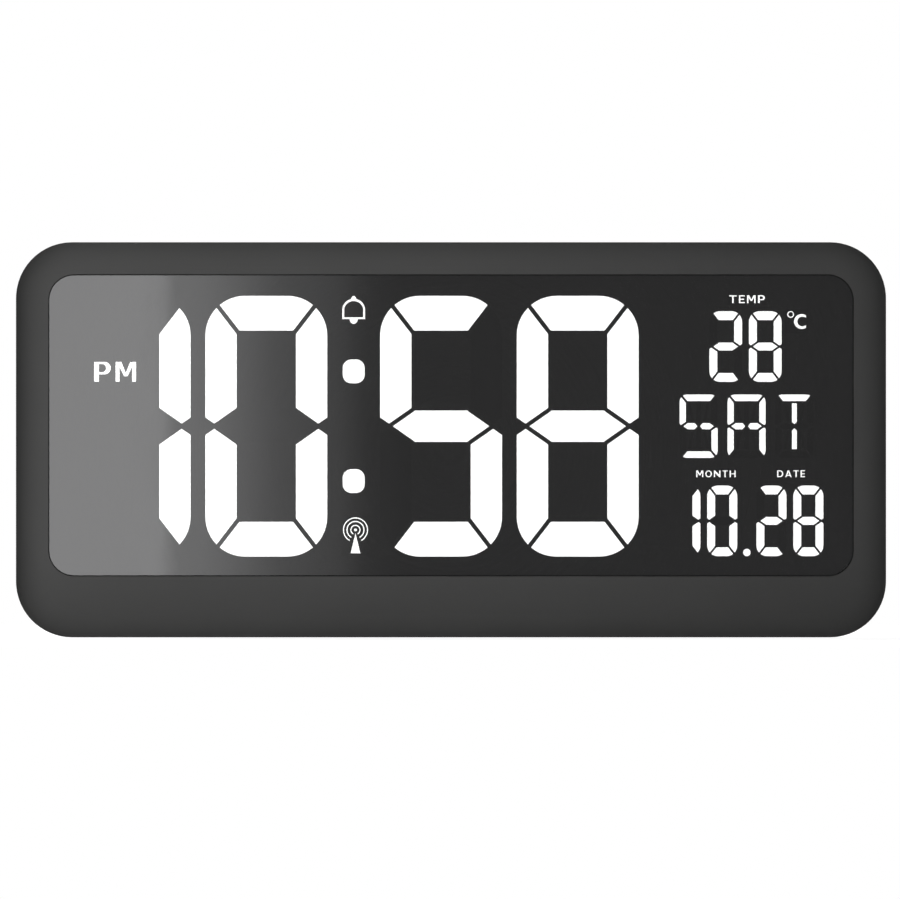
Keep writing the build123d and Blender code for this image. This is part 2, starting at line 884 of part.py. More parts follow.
with BuildPart() as antenna_coil:
    with BuildSketch(Plane.YZ.offset(-coil_length / 2)):
        with Locations((rod_y, rod_z)):
            Circle(rod_radius + coil_wall)
            Circle(rod_radius + clip_fit, mode=Mode.SUBTRACT)
    extrude(amount=coil_length)
save(antenna_coil, "antenna_coil")

clip_half = rod_radius + clip_wall
with BuildPart() as antenna_clips:
    for x in (-clip_spacing / 2, clip_spacing / 2):
        with BuildSketch(Plane.YZ.offset(x - clip_width / 2)):
            with Locations((rod_y - clip_half, rod_z)):
                Rectangle(cover_inner_y - rod_y + clip_half, 2 * clip_half, align=(Align.MIN, Align.CENTER))
            with Locations((rod_y, rod_z)):
                Circle(rod_radius + clip_fit, mode=Mode.SUBTRACT)
        extrude(amount=clip_width)
save(antenna_clips, "antenna_clips")

# Key board, its switches, the plungers and the keys
with BuildPart() as key_board:
    with BuildSketch(at_depth(key_board_y)):
        with Locations((0, key_z)):
            Rectangle(key_board_width, key_board_height)
        with Locations(*key_post_points):
            Circle(screw_radius + head_gap, mode=Mode.SUBTRACT)
    extrude(amount=board_thickness)
save(key_board, "key_board")

with BuildPart() as key_switches:
    with BuildSketch(at_depth(switch_y)):
        with Locations(*key_points):
            Rectangle(switch_width, switch_width)
    extrude(amount=switch_thickness)
    with BuildSketch(at_depth(switch_y)):
        discs(key_points, plunger_radius + plunger_gap)
    extrude(amount=switch_bore_depth, mode=Mode.SUBTRACT)
save(key_switches, "key_switches")

key_names = ["mode", "set", "up", "down", "alarm", "dim"]
for name, point in zip(key_names, key_points):
    with BuildPart() as plunger:
        with BuildSketch(at_depth(plunger_y)):
            discs([point], plunger_radius)
        extrude(amount=plunger_length)
    save(plunger, f"plunger_{name}")

    with BuildPart() as button:
        with BuildSketch(at_depth(key_flange_y)):
            discs([point], key_flange_radius)
        extrude(amount=key_flange)
        with BuildSketch(at_depth(key_panel_y + key_travel_room)):
            discs([point], key_radius)
        extrude(amount=key_panel_y + key_travel_room - key_flange_y)
        fillet(button.faces().sort_by(Axis.Y)[-1].edges(), key_round)
    save(button, f"button_{name}")

# Flat ribbon from the key board down to the display board
ribbon_top_z = key_z - key_board_height / 2
ribbon_key_y = key_board_y - board_thickness
ribbon_low_z = ribbon_top_z - ribbon_drop
with BuildPart() as key_ribbon:
    with BuildSketch(Plane.YZ.offset(-ribbon_width / 2)):
        Polygon(
            (ribbon_key_y, ribbon_top_z + ribbon_pad),
            (ribbon_key_y, ribbon_top_z),
            (board_y + ribbon_thickness, ribbon_low_z),
            (board_y + ribbon_thickness, ribbon_low_z - ribbon_pad),
            (board_y, ribbon_low_z - ribbon_pad),
            (board_y, ribbon_low_z),
            (ribbon_key_y - ribbon_thickness, ribbon_top_z),
            (ribbon_key_y - ribbon_thickness, ribbon_top_z + ribbon_pad),
            align=None,
        )
    extrude(amount=ribbon_width)
save(key_ribbon, "key_ribbon")

# Back-up cell, its two contacts and their leads to the display board
with BuildPart() as coin_cell:
    with BuildSketch(at_depth(cell_top_y)):
        discs([(0, cell_rise)], cell_radius)
    extrude(amount=cell_thickness)
    chamfer(coin_cell.faces().sort_by(Axis.Y)[0].edges(), cell_gap)
save(coin_cell, "coin_cell")

tail_y = cell_cup_y - contact_tail
minus_x = -contact_width / 2
with BuildPart() as cell_contact_minus:
    with BuildSketch(at_depth(cell_bottom_y)):
        with Locations((0, cell_rise)):
            Rectangle(contact_width, contact_length)
    extrude(amount=contact_thickness)
    with BuildSketch(at_depth(cell_floor_y)):
        with Locations((minus_x, cell_rise)):
            Rectangle(contact_thickness, contact_width, align=(Align.MIN, Align.CENTER))
    extrude(amount=cell_floor_y - tail_y)
save(cell_contact_minus, "cell_contact_minus")

plus_x = cell_radius + cell_gap
with BuildPart() as cell_contact_plus:
    with BuildSketch(at_depth(cell_top_y + contact_thickness)):
        with Locations((plus_x + contact_thickness, cell_rise)):
            Rectangle(contact_lap + contact_thickness, contact_width, align=(Align.MAX, Align.CENTER))
    extrude(amount=contact_thickness)
    with BuildSketch(at_depth(cell_top_y)):
        with Locations((plus_x, cell_rise)):
            Rectangle(contact_thickness, contact_width, align=(Align.MIN, Align.CENTER))
    extrude(amount=cell_top_y - tail_y)
save(cell_contact_plus, "cell_contact_plus")

with BuildPart() as cell_leads:
    with BuildSketch(at_depth(tail_y)):
        half_tail = contact_thickness / 2
        discs([(minus_x + half_tail, cell_rise), (plus_x + half_tail, cell_rise)], lead_radius)
    extrude(amount=tail_y - board_y)
save(cell_leads, "cell_leads")

# Door of the cell bay: plate with a rounded lower edge on two side pins
with BuildPart() as battery_door:
    with BuildSketch(Plane.YZ.offset(-door_width / 2)):
        with Locations((door_axis_y, door_axis_z)):
            Circle(door_thickness / 2)
            Rectangle(door_thickness, door_height - door_thickness / 2, align=(Align.CENTER, Align.MIN))
    extrude(amount=door_width)
    upright = battery_door.edges().filter_by(Axis.Y)
    fillet(upright.sort_by(Axis.Z)[-2:], door_corner)
    with BuildSketch(Plane.YZ.offset(-door_width / 2 - door_pin_length)):
        with Locations((door_axis_y, door_axis_z)):
            Circle(door_pin_radius)
    extrude(amount=door_width + 2 * door_pin_length)
    with BuildSketch(at_depth(door_y)):
        with Locations((0, door_bottom + door_height - grip_count * grip_pitch - grip_width)):
            with GridLocations(0, grip_pitch, 1, grip_count):
                SlotOverall(grip_length, grip_width)
    extrude(amount=grip_depth, mode=Mode.SUBTRACT)
save(battery_door, "battery_door")

# Rear cover: tray with screw tubes, leg bays, key panel, cell bay, keyholes, vents and inlet hole
tube_depth = cover_inner_y - split_y
bay_mid_x = (bay_outer_x + bay_inner_x) / 2
bay_width = bay_outer_x - bay_inner_x
cup_width = door_width + 2 * cell_wall
cup_height = door_height + 2 * cell_wall
slot_mid_rise = keyhole_rise / 2
pocket_width = 2 * (keyhole_radius + keyhole_pocket_wall)
pocket_height = keyhole_rise + keyhole_radius + keyhole_slot / 2 + 2 * keyhole_pocket_wall
pocket_z = keyhole_z + (keyhole_rise + keyhole_slot / 2 - keyhole_radius) / 2
keyhole_xs = (-keyhole_spacing / 2, keyhole_spacing / 2)
with BuildPart() as rear_cover:
    with BuildSketch(at_depth(rear_y)):
        case_outline(0)
    extrude(amount=rear_y - split_y)
    fillet(rear_cover.faces().sort_by(Axis.Y)[-1].edges(), rear_round)
    chamfer(rear_cover.faces().sort_by(Axis.Y)[0].edges(), parting_break)
    with BuildSketch(at_depth(cover_inner_y)):
        case_outline(wall)
    extrude(amount=tube_depth, mode=Mode.SUBTRACT)

    # Tongue inside the front housing's wall, cut away round the bosses
    with BuildSketch(at_depth(split_y + tongue_length)):
        case_outline(wall)
        with Locations((0, case_mid_z)):
            RectangleRounded(
                case_width - 2 * (wall + tongue_gap + tongue_width),
                case_height - 2 * (wall + tongue_gap + tongue_width),
                corner_radius - wall - tongue_gap - tongue_width,
                mode=Mode.SUBTRACT,
            )
    extrude(amount=tongue_length)
    with BuildSketch(at_depth(split_y)):
        case_outline(wall + tongue_gap)
        with Locations((0, case_mid_z)):
            RectangleRounded(
                case_width - 2 * (wall + tongue_gap + tongue_width),
                case_height - 2 * (wall + tongue_gap + tongue_width),
                corner_radius - wall - tongue_gap - tongue_width,
                mode=Mode.SUBTRACT,
            )
        with Locations(*case_points):
            Circle(boss_radius + head_gap, mode=Mode.SUBTRACT)
    extrude(amount=tongue_length)

    # Screw tubes, key posts and the blocks that the bays are cut from
    with BuildSketch(at_depth(cover_inner_y)):
        discs(case_points, tube_radius)
    extrude(amount=tube_depth)
    with BuildSketch(at_depth(cover_inner_y)):
        with Locations((0, key_z)):
            Rectangle(key_panel_width + 2 * wall, key_panel_height + 2 * wall)
    extrude(amount=cover_inner_y - key_panel_inner_y)
    with BuildSketch(at_depth(key_panel_inner_y)):
        discs(key_post_points, boss_radius)
    extrude(amount=key_panel_inner_y - key_board_y)
    with BuildSketch(at_depth(cover_inner_y)):
        with Locations((0, cell_rise)):
            Rectangle(cup_width, cup_height)
    extrude(amount=cover_inner_y - cell_cup_y)
    with BuildSketch(at_depth(cover_inner_y)):
        with Locations((keyhole_xs[0], pocket_z), (keyhole_xs[1], pocket_z)):
            Rectangle(pocket_width, pocket_height)
    extrude(amount=keyhole_room + keyhole_pocket_wall)
    with BuildSketch(at_depth(cover_inner_y)):
        for side in (-1, 1):
            with Locations((side * bay_mid_x, wall / 2)):
                Rectangle(
                    bay_width + 2 * bay_wall, bay_top + bay_wall - wall / 2, align=(Align.CENTER, Align.MIN)
                )
    extrude(amount=cover_inner_y - bay_y + bay_wall)

    # Screw holes
    with BuildSketch(at_depth(rear_y + overrun)):
        discs(case_points, head_radius + head_gap)
    extrude(amount=rear_y + overrun - seat_y, mode=Mode.SUBTRACT)
    with BuildSketch(at_depth(seat_y)):
        discs(case_points, screw_radius + head_gap)
    extrude(amount=case_seat, mode=Mode.SUBTRACT)
    with BuildSketch(at_depth(key_board_y + key_screw_length)):
        discs(key_post_points, screw_radius + screw_gap)
    extrude(amount=key_screw_length, mode=Mode.SUBTRACT)

    # Key panel with its holes
    with BuildSketch(at_depth(rear_y + overrun)):
        with Locations((0, key_z)):
            RectangleRounded(key_panel_width, key_panel_height, key_panel_round)
    extrude(amount=overrun + key_recess, mode=Mode.SUBTRACT)
    with BuildSketch(at_depth(key_panel_y)):
        discs(key_points, key_radius + key_gap)
    extrude(amount=wall, mode=Mode.SUBTRACT)

    # Keyholes open into closed pockets
    for x in keyhole_xs:
        with BuildSketch(at_depth(rear_y + overrun)):
            discs([(x, keyhole_z)], keyhole_radius)
            with Locations(Location((x, keyhole_z + slot_mid_rise), 90)):
                SlotCenterToCenter(keyhole_rise, keyhole_slot)
        extrude(amount=overrun + wall, mode=Mode.SUBTRACT)
        with BuildSketch(at_depth(cover_inner_y)):
            with Locations((x, pocket_z)):
                Rectangle(pocket_width - 2 * keyhole_pocket_wall, pocket_height - 2 * keyhole_pocket_wall)
        extrude(amount=keyhole_room, mode=Mode.SUBTRACT)

    # Cell bay: door recess, round cell well, contact slots, door pin holes
    with BuildSketch(at_depth(rear_y + overrun)):
        with Locations((0, door_bottom - door_gap)):
            Rectangle(
                door_width + 2 * door_gap, door_height + 2 * door_gap, align=(Align.CENTER, Align.MIN)
            )
    extrude(amount=rear_y + overrun - door_seat_y, mode=Mode.SUBTRACT)
    with BuildSketch(at_depth(door_seat_y)):
        discs([(0, cell_rise)], cell_radius + cell_gap)
        with Locations((plus_x + contact_thickness + tail_gap, cell_rise)):
            Rectangle(
                contact_lap + contact_thickness + tail_gap,
                contact_width + 2 * tail_gap,
                align=(Align.MAX, Align.CENTER),
            )
    extrude(amount=door_seat_y - cell_floor_y, mode=Mode.SUBTRACT)
    with BuildSketch(at_depth(cell_floor_y)):
        with Locations((minus_x - tail_gap, cell_rise), (plus_x - tail_gap, cell_rise)):
            Rectangle(
                contact_thickness + 2 * tail_gap,
                contact_width + 2 * tail_gap,
                align=(Align.MIN, Align.CENTER),
            )
    extrude(amount=cell_wall, mode=Mode.SUBTRACT)
    door_pin_reach = door_width / 2 + door_pin_length + door_gap
    with BuildSketch(Plane.YZ.offset(-door_pin_reach)):
        with Locations((door_axis_y, door_axis_z)):
            Circle(door_pin_radius + door_fit)
    extrude(amount=2 * door_pin_reach, mode=Mode.SUBTRACT)

    # Leg bays: full height above the ear, open underneath beyond it, with a pin hole through both
    for side in (-1, 1):
        with BuildSketch(Plane.XY.offset(leg_ear)):
            with Locations((side * bay_mid_x, bay_y)):
                Rectangle(bay_width, rear_y - bay_y + overrun, align=(Align.CENTER, Align.MIN))
        extrude(amount=bay_top - leg_ear, mode=Mode.SUBTRACT)
        with BuildSketch(Plane.XY.offset(-overrun)):
            with Locations((side * (leg_hinge_x + bay_inner_x) / 2, bay_y)):
                Rectangle(
                    leg_hinge_x - bay_inner_x, rear_y - bay_y + overrun, align=(Align.CENTER, Align.MIN)
                )
            with Locations((side * leg_hinge_x, leg_axis_y)):
                Circle(leg_ear_radius, mode=Mode.SUBTRACT)
        extrude(amount=leg_ear + overrun, mode=Mode.SUBTRACT)
        with BuildSketch(Plane.XY.offset(-overrun)):
            with Locations((side * leg_hinge_x, leg_axis_y)):
                Circle(leg_pin_radius + pin_fit)
        extrude(amount=overrun + bay_top + bay_wall, mode=Mode.SUBTRACT)

    # Inlet hole, sounder holes, air slots and the bare label field
    with BuildSketch(at_depth(rear_y + overrun)):
        discs([jack_point], jack_hole_radius)
        discs([buzzer_point], buzzer_hole_radius)
        with Locations(buzzer_point):
            with PolarLocations(buzzer_ring_radius, buzzer_hole_count):
                Circle(buzzer_hole_radius)
        with Locations((thermistor_x, thermistor_z)):
            with GridLocations(vent_pitch, 0, vent_count, 1):
                SlotOverall(vent_length, vent_width, rotation=90)
    extrude(amount=overrun + wall, mode=Mode.SUBTRACT)
    with BuildSketch(at_depth(rear_y)):
        with Locations(board_place(label_place_shares)):
            RectangleRounded(label_width, label_height, label_round)
    extrude(amount=label_depth, mode=Mode.SUBTRACT)
save(rear_cover, "rear_cover")

# Swing-out legs: barrel on the pin, blade that lies flush in its bay and reaches down past the ear
for side, name in ((-1, "left"), (1, "right")):
    blade_y = leg_axis_y + leg_barrel_radius - leg_thickness
    heel = leg_ear_radius + leg_gap
    with BuildPart() as stand_leg:
        with BuildSketch(Plane.XY.offset(leg_ear + leg_gap)):
            with Locations((side * leg_hinge_x, leg_axis_y)):
                Circle(leg_barrel_radius)
            with Locations((side * (leg_hinge_x - leg_length / 2), blade_y)):
                Rectangle(leg_length, leg_thickness, align=(Align.CENTER, Align.MIN))
        extrude(amount=leg_top - leg_ear - leg_gap)
        with BuildSketch(Plane.XY.offset(leg_gap)):
            with Locations((side * (leg_hinge_x - (leg_length + heel) / 2), blade_y)):
                Rectangle(leg_length - heel, leg_thickness, align=(Align.CENTER, Align.MIN))
        extrude(amount=leg_ear)
        with BuildSketch(Plane.XY):
            with Locations((side * leg_hinge_x, leg_axis_y)):
                Circle(leg_pin_radius + leg_fit)
        extrude(amount=leg_top, mode=Mode.SUBTRACT)
        tip_edges = stand_leg.edges().filter_by(Axis.Z).sort_by(Axis.X)
        fillet(tip_edges[:2] if side > 0 else tip_edges[-2:], leg_end_round)
        with BuildSketch(at_depth(leg_axis_y + leg_barrel_radius)):
            rib_x = leg_hinge_x - leg_length + 4 * leg_rib_width
            with Locations((side * rib_x, (leg_top + leg_gap) / 2)):
                with GridLocations(2 * leg_rib_width, 0, 3, 1):
                    SlotOverall(leg_top - 2 * leg_rib_width, leg_rib_width / 2, rotation=90)
        extrude(amount=leg_rib_depth, mode=Mode.SUBTRACT)
    save(stand_leg, f"stand_leg_{name}")

with BuildPart() as leg_pins:
    with BuildSketch(Plane.XY.offset(leg_gap)):
        with Locations((-leg_hinge_x, leg_axis_y), (leg_hinge_x, leg_axis_y)):
            Circle(leg_pin_radius)
    extrude(amount=bay_top + bay_wall - leg_gap)
save(leg_pins, "leg_pins")


def screw_set(name, points, seat, length, facing):
    # Pan-head screws with a cross recess; facing is 1 where the heads look to the back
    with BuildPart() as screws:
        with BuildSketch(at_depth(seat)):
            discs(points, head_radius)
        extrude(amount=-facing * head_thickness)
        with BuildSketch(at_depth(seat)):
            discs(points, screw_radius)
        extrude(amount=facing * length)
        with BuildSketch(at_depth(seat + facing * head_thickness)):
            with Locations(*points):
                Rectangle(cross_length, cross_width)
                Rectangle(cross_width, cross_length)
        extrude(amount=facing * cross_depth, mode=Mode.SUBTRACT)
    save(screws, name)


screw_set("case_screws", case_points, seat_y, case_screw_length, 1)
screw_set("frame_screws", tab_points, reflector_y, frame_screw_length, 1)
screw_set("board_screws", board_points, board_y, board_screw_length, 1)
screw_set("key_screws", key_post_points, key_board_y - board_thickness, key_screw_length, -1)

print(f"case {case_width:.2f} x {case_depth:.2f} x {case_height:.2f} mm")
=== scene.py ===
import bpy
import bmesh
from math import acos, atan2, cos, degrees, pi, radians, sin
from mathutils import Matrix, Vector


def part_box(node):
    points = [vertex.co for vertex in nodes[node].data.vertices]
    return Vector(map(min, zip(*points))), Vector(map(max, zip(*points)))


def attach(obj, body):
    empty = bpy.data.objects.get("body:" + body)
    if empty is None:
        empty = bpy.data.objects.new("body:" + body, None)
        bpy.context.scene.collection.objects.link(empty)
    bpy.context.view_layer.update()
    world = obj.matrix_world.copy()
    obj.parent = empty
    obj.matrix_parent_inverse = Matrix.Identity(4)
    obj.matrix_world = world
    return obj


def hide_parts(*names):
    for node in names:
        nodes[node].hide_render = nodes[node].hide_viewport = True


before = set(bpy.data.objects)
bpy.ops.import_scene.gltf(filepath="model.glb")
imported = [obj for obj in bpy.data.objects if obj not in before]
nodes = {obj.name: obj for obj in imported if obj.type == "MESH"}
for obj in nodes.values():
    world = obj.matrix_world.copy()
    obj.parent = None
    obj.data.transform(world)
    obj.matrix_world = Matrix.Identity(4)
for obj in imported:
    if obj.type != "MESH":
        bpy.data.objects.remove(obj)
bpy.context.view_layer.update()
mm = 0.001
weld = 0.002 * mm  # points nearer than this are one
quarterTurn = radians(90)
print("frame loaded:", len(nodes), "nodes")


# small helpers for node trees

def startMaterial(name):
    material = bpy.data.materials.new(name)
    material.use_nodes = True
    tree = material.node_tree
    tree.nodes.clear()
    output = tree.nodes.new("ShaderNodeOutputMaterial")
    shader = tree.nodes.new("ShaderNodeBsdfPrincipled")
    tree.links.new(shader.outputs["BSDF"], output.inputs["Surface"])
    return material, tree, shader


def objectPoints(tree, stretch=(1, 1, 1)):
    # every mesh keeps its place in its points, so these are metres in the shared frame
    coords = tree.nodes.new("ShaderNodeTexCoord")
    mapping = tree.nodes.new("ShaderNodeMapping")
    mapping.inputs["Scale"].default_value = stretch
    tree.links.new(coords.outputs["Object"], mapping.inputs["Vector"])
    return mapping.outputs["Vector"]


# detail and roughness of each kind of noise
noiseKinds = {"fine": (3.0, 0.6), "frosted": (3.0, 0.5), "soft": (2.0, 0.5), "faint": (1.0, 0.5),
              "smeared": (4.0, 0.65)}


def noise(tree, points, size, kind="soft"):
    detail, rough = noiseKinds[kind]
    texture = tree.nodes.new("ShaderNodeTexNoise")
    texture.inputs["Scale"].default_value = 1 / size
    texture.inputs["Detail"].default_value = detail
    texture.inputs["Roughness"].default_value = rough
    tree.links.new(points, texture.inputs["Vector"])
    return texture.outputs["Fac"]


def spread(tree, value, low, high, fromLow=0.3, fromHigh=0.7):
    # noise stays near its middle, so the ends are pulled in
    scale = tree.nodes.new("ShaderNodeMapRange")
    scale.inputs["From Min"].default_value = fromLow
    scale.inputs["From Max"].default_value = fromHigh
    scale.inputs["To Min"].default_value = low
    scale.inputs["To Max"].default_value = high
    tree.links.new(value, scale.inputs["Value"])
    return scale.outputs["Result"]


def blendColours(tree, factor, first, second):
    mix = tree.nodes.new("ShaderNodeMix")
    mix.data_type = "RGBA"  # its colours are inputs 6 and 7 and output 2
    for socket, colour in ((mix.inputs[6], first), (mix.inputs[7], second)):
        if isinstance(colour, tuple):
            socket.default_value = (*colour, 1)
        else:
            tree.links.new(colour, socket)
    tree.links.new(factor, mix.inputs[0])
    return mix.outputs[2]


def bumpFrom(tree, shader, height, strength, depth):
    bump = tree.nodes.new("ShaderNodeBump")
    bump.inputs["Strength"].default_value = strength
    bump.inputs["Distance"].default_value = depth
    tree.links.new(height, bump.inputs["Height"])
    tree.links.new(bump.outputs["Normal"], shader.inputs["Normal"])


def shade(colour, amount):
    return tuple(channel * amount for channel in colour)


# moulded plastics: a spark-eroded grain, soft clouds of tone, uneven sheen
plastics = {
    "housing_plastic": {"base": (0.063, 0.0628, 0.0622), "grain": 0.55, "cloud": 34, "bump": 0.10,
                        "rough": (0.55, 0.70), "shine": 0.004, "swing": 0.03},
    "cover_plastic": {"base": (0.038, 0.038, 0.0386), "grain": 0.8, "cloud": 26, "bump": 0.34,
                      "rough": (0.52, 0.70), "shine": 0.35, "swing": 0.06},
    "leg_plastic": {"base": (0.046, 0.046, 0.047), "grain": 0.7, "cloud": 18, "bump": 0.26,
                    "rough": (0.46, 0.62), "shine": 0.38, "swing": 0.09},
    "key_plastic": {"base": (0.105, 0.105, 0.110), "grain": 0.35, "cloud": 6, "bump": 0.10,
                    "rough": (0.30, 0.44), "shine": 0.45, "swing": 0.06},
    "black_film": {"base": (0.006, 0.006, 0.0062), "grain": 0.25, "cloud": 20, "bump": 0.05,
                   "rough": (0.58, 0.72), "shine": 0.20, "swing": 0.15},
    "reflector_plastic": {"base": (0.74, 0.74, 0.73), "grain": 0.6, "cloud": 20, "bump": 0.10,
                          "rough": (0.55, 0.70), "shine": 0.35, "swing": 0.04},
    "dark_segment": {"base": (0.005, 0.005, 0.0052), "grain": 0.4, "cloud": 8, "bump": 0.06,
                     "rough": (0.55, 0.70), "shine": 0.12, "swing": 0.12},
    "lamp_body": {"base": (0.84, 0.80, 0.58), "grain": 0.4, "cloud": 2, "bump": 0.06,
                  "rough": (0.22, 0.36), "shine": 0.5, "swing": 0.05},
    "chip_plastic": {"base": (0.015, 0.015, 0.016), "grain": 0.22, "cloud": 5, "bump": 0.20,
                     "rough": (0.42, 0.58), "shine": 0.42, "swing": 0.12},
    "bead_glaze": {"base": (0.02, 0.02, 0.05), "grain": 0.5, "cloud": 1.5, "bump": 0.08,
                   "rough": (0.12, 0.22), "shine": 0.6, "swing": 0.12},
    "clip_plastic": {"base": (0.50, 0.50, 0.47), "grain": 0.5, "cloud": 5, "bump": 0.10,
                     "rough": (0.38, 0.52), "shine": 0.42, "swing": 0.05},
    "ferrite": {"base": (0.040, 0.040, 0.042), "grain": 0.18, "cloud": 4, "bump": 0.28,
                "rough": (0.46, 0.66), "shine": 0.5, "swing": 0.16},
}
# how much the palest flecks show, how pale they are, and the depth of the grain as a share of its size
moulding = {"fleck": 0.5, "fleckSwings": 2, "depthShare": 0.3}


def mouldedPlastic(name, look):
    material, tree, shader = startMaterial(name)
    points = objectPoints(tree)
    grain = noise(tree, points, look["grain"] * mm, "fine")
    cloud = noise(tree, points, look["cloud"] * mm)
    deep = shade(look["base"], 1 - look["swing"])
    pale = shade(look["base"], 1 + look["swing"])
    palest = shade(look["base"], 1 + moulding["fleckSwings"] * look["swing"])
    clouds = blendColours(tree, spread(tree, cloud, 0, 1), deep, pale)
    flecks = blendColours(tree, spread(tree, grain, 0, moulding["fleck"]), clouds, palest)
    tree.links.new(flecks, shader.inputs["Base Color"])
    tree.links.new(spread(tree, grain, *look["rough"]), shader.inputs["Roughness"])
    shader.inputs["Specular IOR Level"].default_value = look["shine"]
    bumpFrom(tree, shader, grain, look["bump"], moulding["depthShare"] * look["grain"] * mm)
    return material


# metals: fine drawn lines along one axis and a dull bloom
metals = {
    "can_metal": {"base": (0.68, 0.68, 0.70), "line": 0.25, "along": (0.08, 1, 1), "rough": (0.24, 0.40)},
    "cell_steel": {"base": (0.70, 0.70, 0.68), "line": 0.22, "along": (0.06, 1, 1), "rough": (0.20, 0.34)},
    "spring_steel": {"base": (0.66, 0.65, 0.60), "line": 0.18, "along": (1, 1, 0.1), "rough": (0.22, 0.36)},
    "screw_steel": {"base": (0.29, 0.29, 0.30), "line": 0.30, "along": (1, 0.2, 1), "rough": (0.30, 0.46)},
}
drawing = {"lineShade": 0.84, "bloom": 6, "dull": 0.3, "dullShade": 0.7, "bump": 0.15, "depth": 0.02}


def drawnMetal(name, look):
    material, tree, shader = startMaterial(name)
    points = objectPoints(tree, look["along"])
    lines = noise(tree, points, look["line"] * mm, "fine")
    bloom = noise(tree, objectPoints(tree), drawing["bloom"] * mm)
    deep = shade(look["base"], drawing["lineShade"])
    dull = shade(look["base"], drawing["dullShade"])
    tone = blendColours(tree, spread(tree, lines, 0, 1), deep, look["base"])
    dulled = blendColours(tree, spread(tree, bloom, 0, drawing["dull"]), tone, dull)
    tree.links.new(dulled, shader.inputs["Base Color"])
    tree.links.new(spread(tree, lines, *look["rough"]), shader.inputs["Roughness"])
    shader.inputs["Metallic"].default_value = 1
    bumpFrom(tree, shader, lines, drawing["bump"], drawing["depth"] * mm)
    return material


# half-mirror: a thin metal coat on the front of a clear sheet lets the lit signs through
mirror = {"coat": (0.40, 0.40, 0.403), "cover": 0.55, "clear": 0.03, "skin": 0.1, "haze": 70,
          "hazeShade": 0.985, "smear": 9, "smearAlong": (1, 1, 0.35), "rough": (0.010, 0.025)}


def mirrorCoat(name):
    material, tree, shader = startMaterial(name)
    points = objectPoints(tree)
    haze = noise(tree, points, mirror["haze"] * mm, "faint")
    smear = noise(tree, objectPoints(tree, mirror["smearAlong"]), mirror["smear"] * mm, "smeared")
    hazy = shade(mirror["coat"], mirror["hazeShade"])
    coat = blendColours(tree, spread(tree, haze, 0, 1), hazy, mirror["coat"])
    tree.links.new(coat, shader.inputs["Base Color"])
    tree.links.new(spread(tree, smear, *mirror["rough"]), shader.inputs["Roughness"])
    shader.inputs["Metallic"].default_value = 1
    split = tree.nodes.new("ShaderNodeSeparateXYZ")
    tree.links.new(points, split.inputs["Vector"])
    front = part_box("mirror_lens")[0].y
    skin = mirror["skin"] * mm
    cover = spread(tree, split.outputs["Y"], mirror["cover"], mirror["clear"], front + skin, front + 2 * skin)
    tree.links.new(cover, shader.inputs["Alpha"])
    return material


# milky blocks lit from behind, with a frosted skin
lit = {"base": (0.88, 0.88, 0.88), "glow": (1.0, 1.0, 1.0), "power": 2.4, "frost": 0.5, "frostShade": 0.95,
       "rough": (0.45, 0.6), "bump": 0.1, "depth": 0.05}


def litBlock(name):
    material, tree, shader = startMaterial(name)
    frost = noise(tree, objectPoints(tree), lit["frost"] * mm, "frosted")
    tone = blendColours(tree, spread(tree, frost, 0, 1), shade(lit["base"], lit["frostShade"]), lit["base"])
    tree.links.new(tone, shader.inputs["Base Color"])
    tree.links.new(spread(tree, frost, *lit["rough"]), shader.inputs["Roughness"])
    shader.inputs["Emission Color"].default_value = (*lit["glow"], 1)
    shader.inputs["Emission Strength"].default_value = lit["power"]
    bumpFrom(tree, shader, frost, lit["bump"], lit["depth"] * mm)
    return material


# closed-cell foam: small round pores; its tone is darker than real black foam, partly the foam's own black
# and partly painted shade for the dark gap line round the lens
foam = {"deep": (0.0024, 0.0024, 0.00252), "pale": (0.006, 0.006, 0.0063), "pore": 0.45, "rough": 0.9,
        "shine": 0.15, "bump": 0.5, "depth": 0.15}


def foamTape(name):
    material, tree, shader = startMaterial(name)
    pores = tree.nodes.new("ShaderNodeTexVoronoi")
    pores.inputs["Scale"].default_value = 1 / (foam["pore"] * mm)
    tree.links.new(objectPoints(tree), pores.inputs["Vector"])
    # the pore tones carry painted shade for the gap line as well as the foam's own black
    tone = blendColours(tree, pores.outputs["Distance"], foam["deep"], foam["pale"])
    tree.links.new(tone, shader.inputs["Base Color"])
    shader.inputs["Roughness"].default_value = foam["rough"]
    shader.inputs["Specular IOR Level"].default_value = foam["shine"]
    bumpFrom(tree, shader, pores.outputs["Distance"], foam["bump"], foam["depth"] * mm)
    return material


# circuit board: solder mask over a grid of copper tracks
board = {"mask": (0.022, 0.10, 0.042), "track": (0.045, 0.17, 0.07), "pitch": 3.2, "width": 0.10, "run": 2.4,
         "weave": 0.4, "weaveShade": 0.85, "rough": (0.24, 0.36), "bump": 0.3, "depth": 0.035}


def boardLaminate(name):
    material, tree, shader = startMaterial(name)
    turned = tree.nodes.new("ShaderNodeMapping")
    turned.inputs["Rotation"].default_value = (quarterTurn, 0, 0)
    tree.links.new(objectPoints(tree), turned.inputs["Vector"])
    tracks = tree.nodes.new("ShaderNodeTexBrick")
    tracks.inputs["Scale"].default_value = 1 / (board["pitch"] * mm)
    tracks.inputs["Mortar Size"].default_value = board["width"]
    tracks.inputs["Brick Width"].default_value = board["run"]
    tree.links.new(turned.outputs["Vector"], tracks.inputs["Vector"])
    weave = noise(tree, objectPoints(tree), board["weave"] * mm)
    deep = shade(board["mask"], board["weaveShade"])
    ground = blendColours(tree, spread(tree, weave, 0, 1), deep, board["mask"])
    printed = blendColours(tree, tracks.outputs["Fac"], ground, board["track"])
    tree.links.new(printed, shader.inputs["Base Color"])
    tree.links.new(spread(tree, weave, *board["rough"]), shader.inputs["Roughness"])
    bumpFrom(tree, shader, tracks.outputs["Fac"], board["bump"], board["depth"] * mm)
    return material


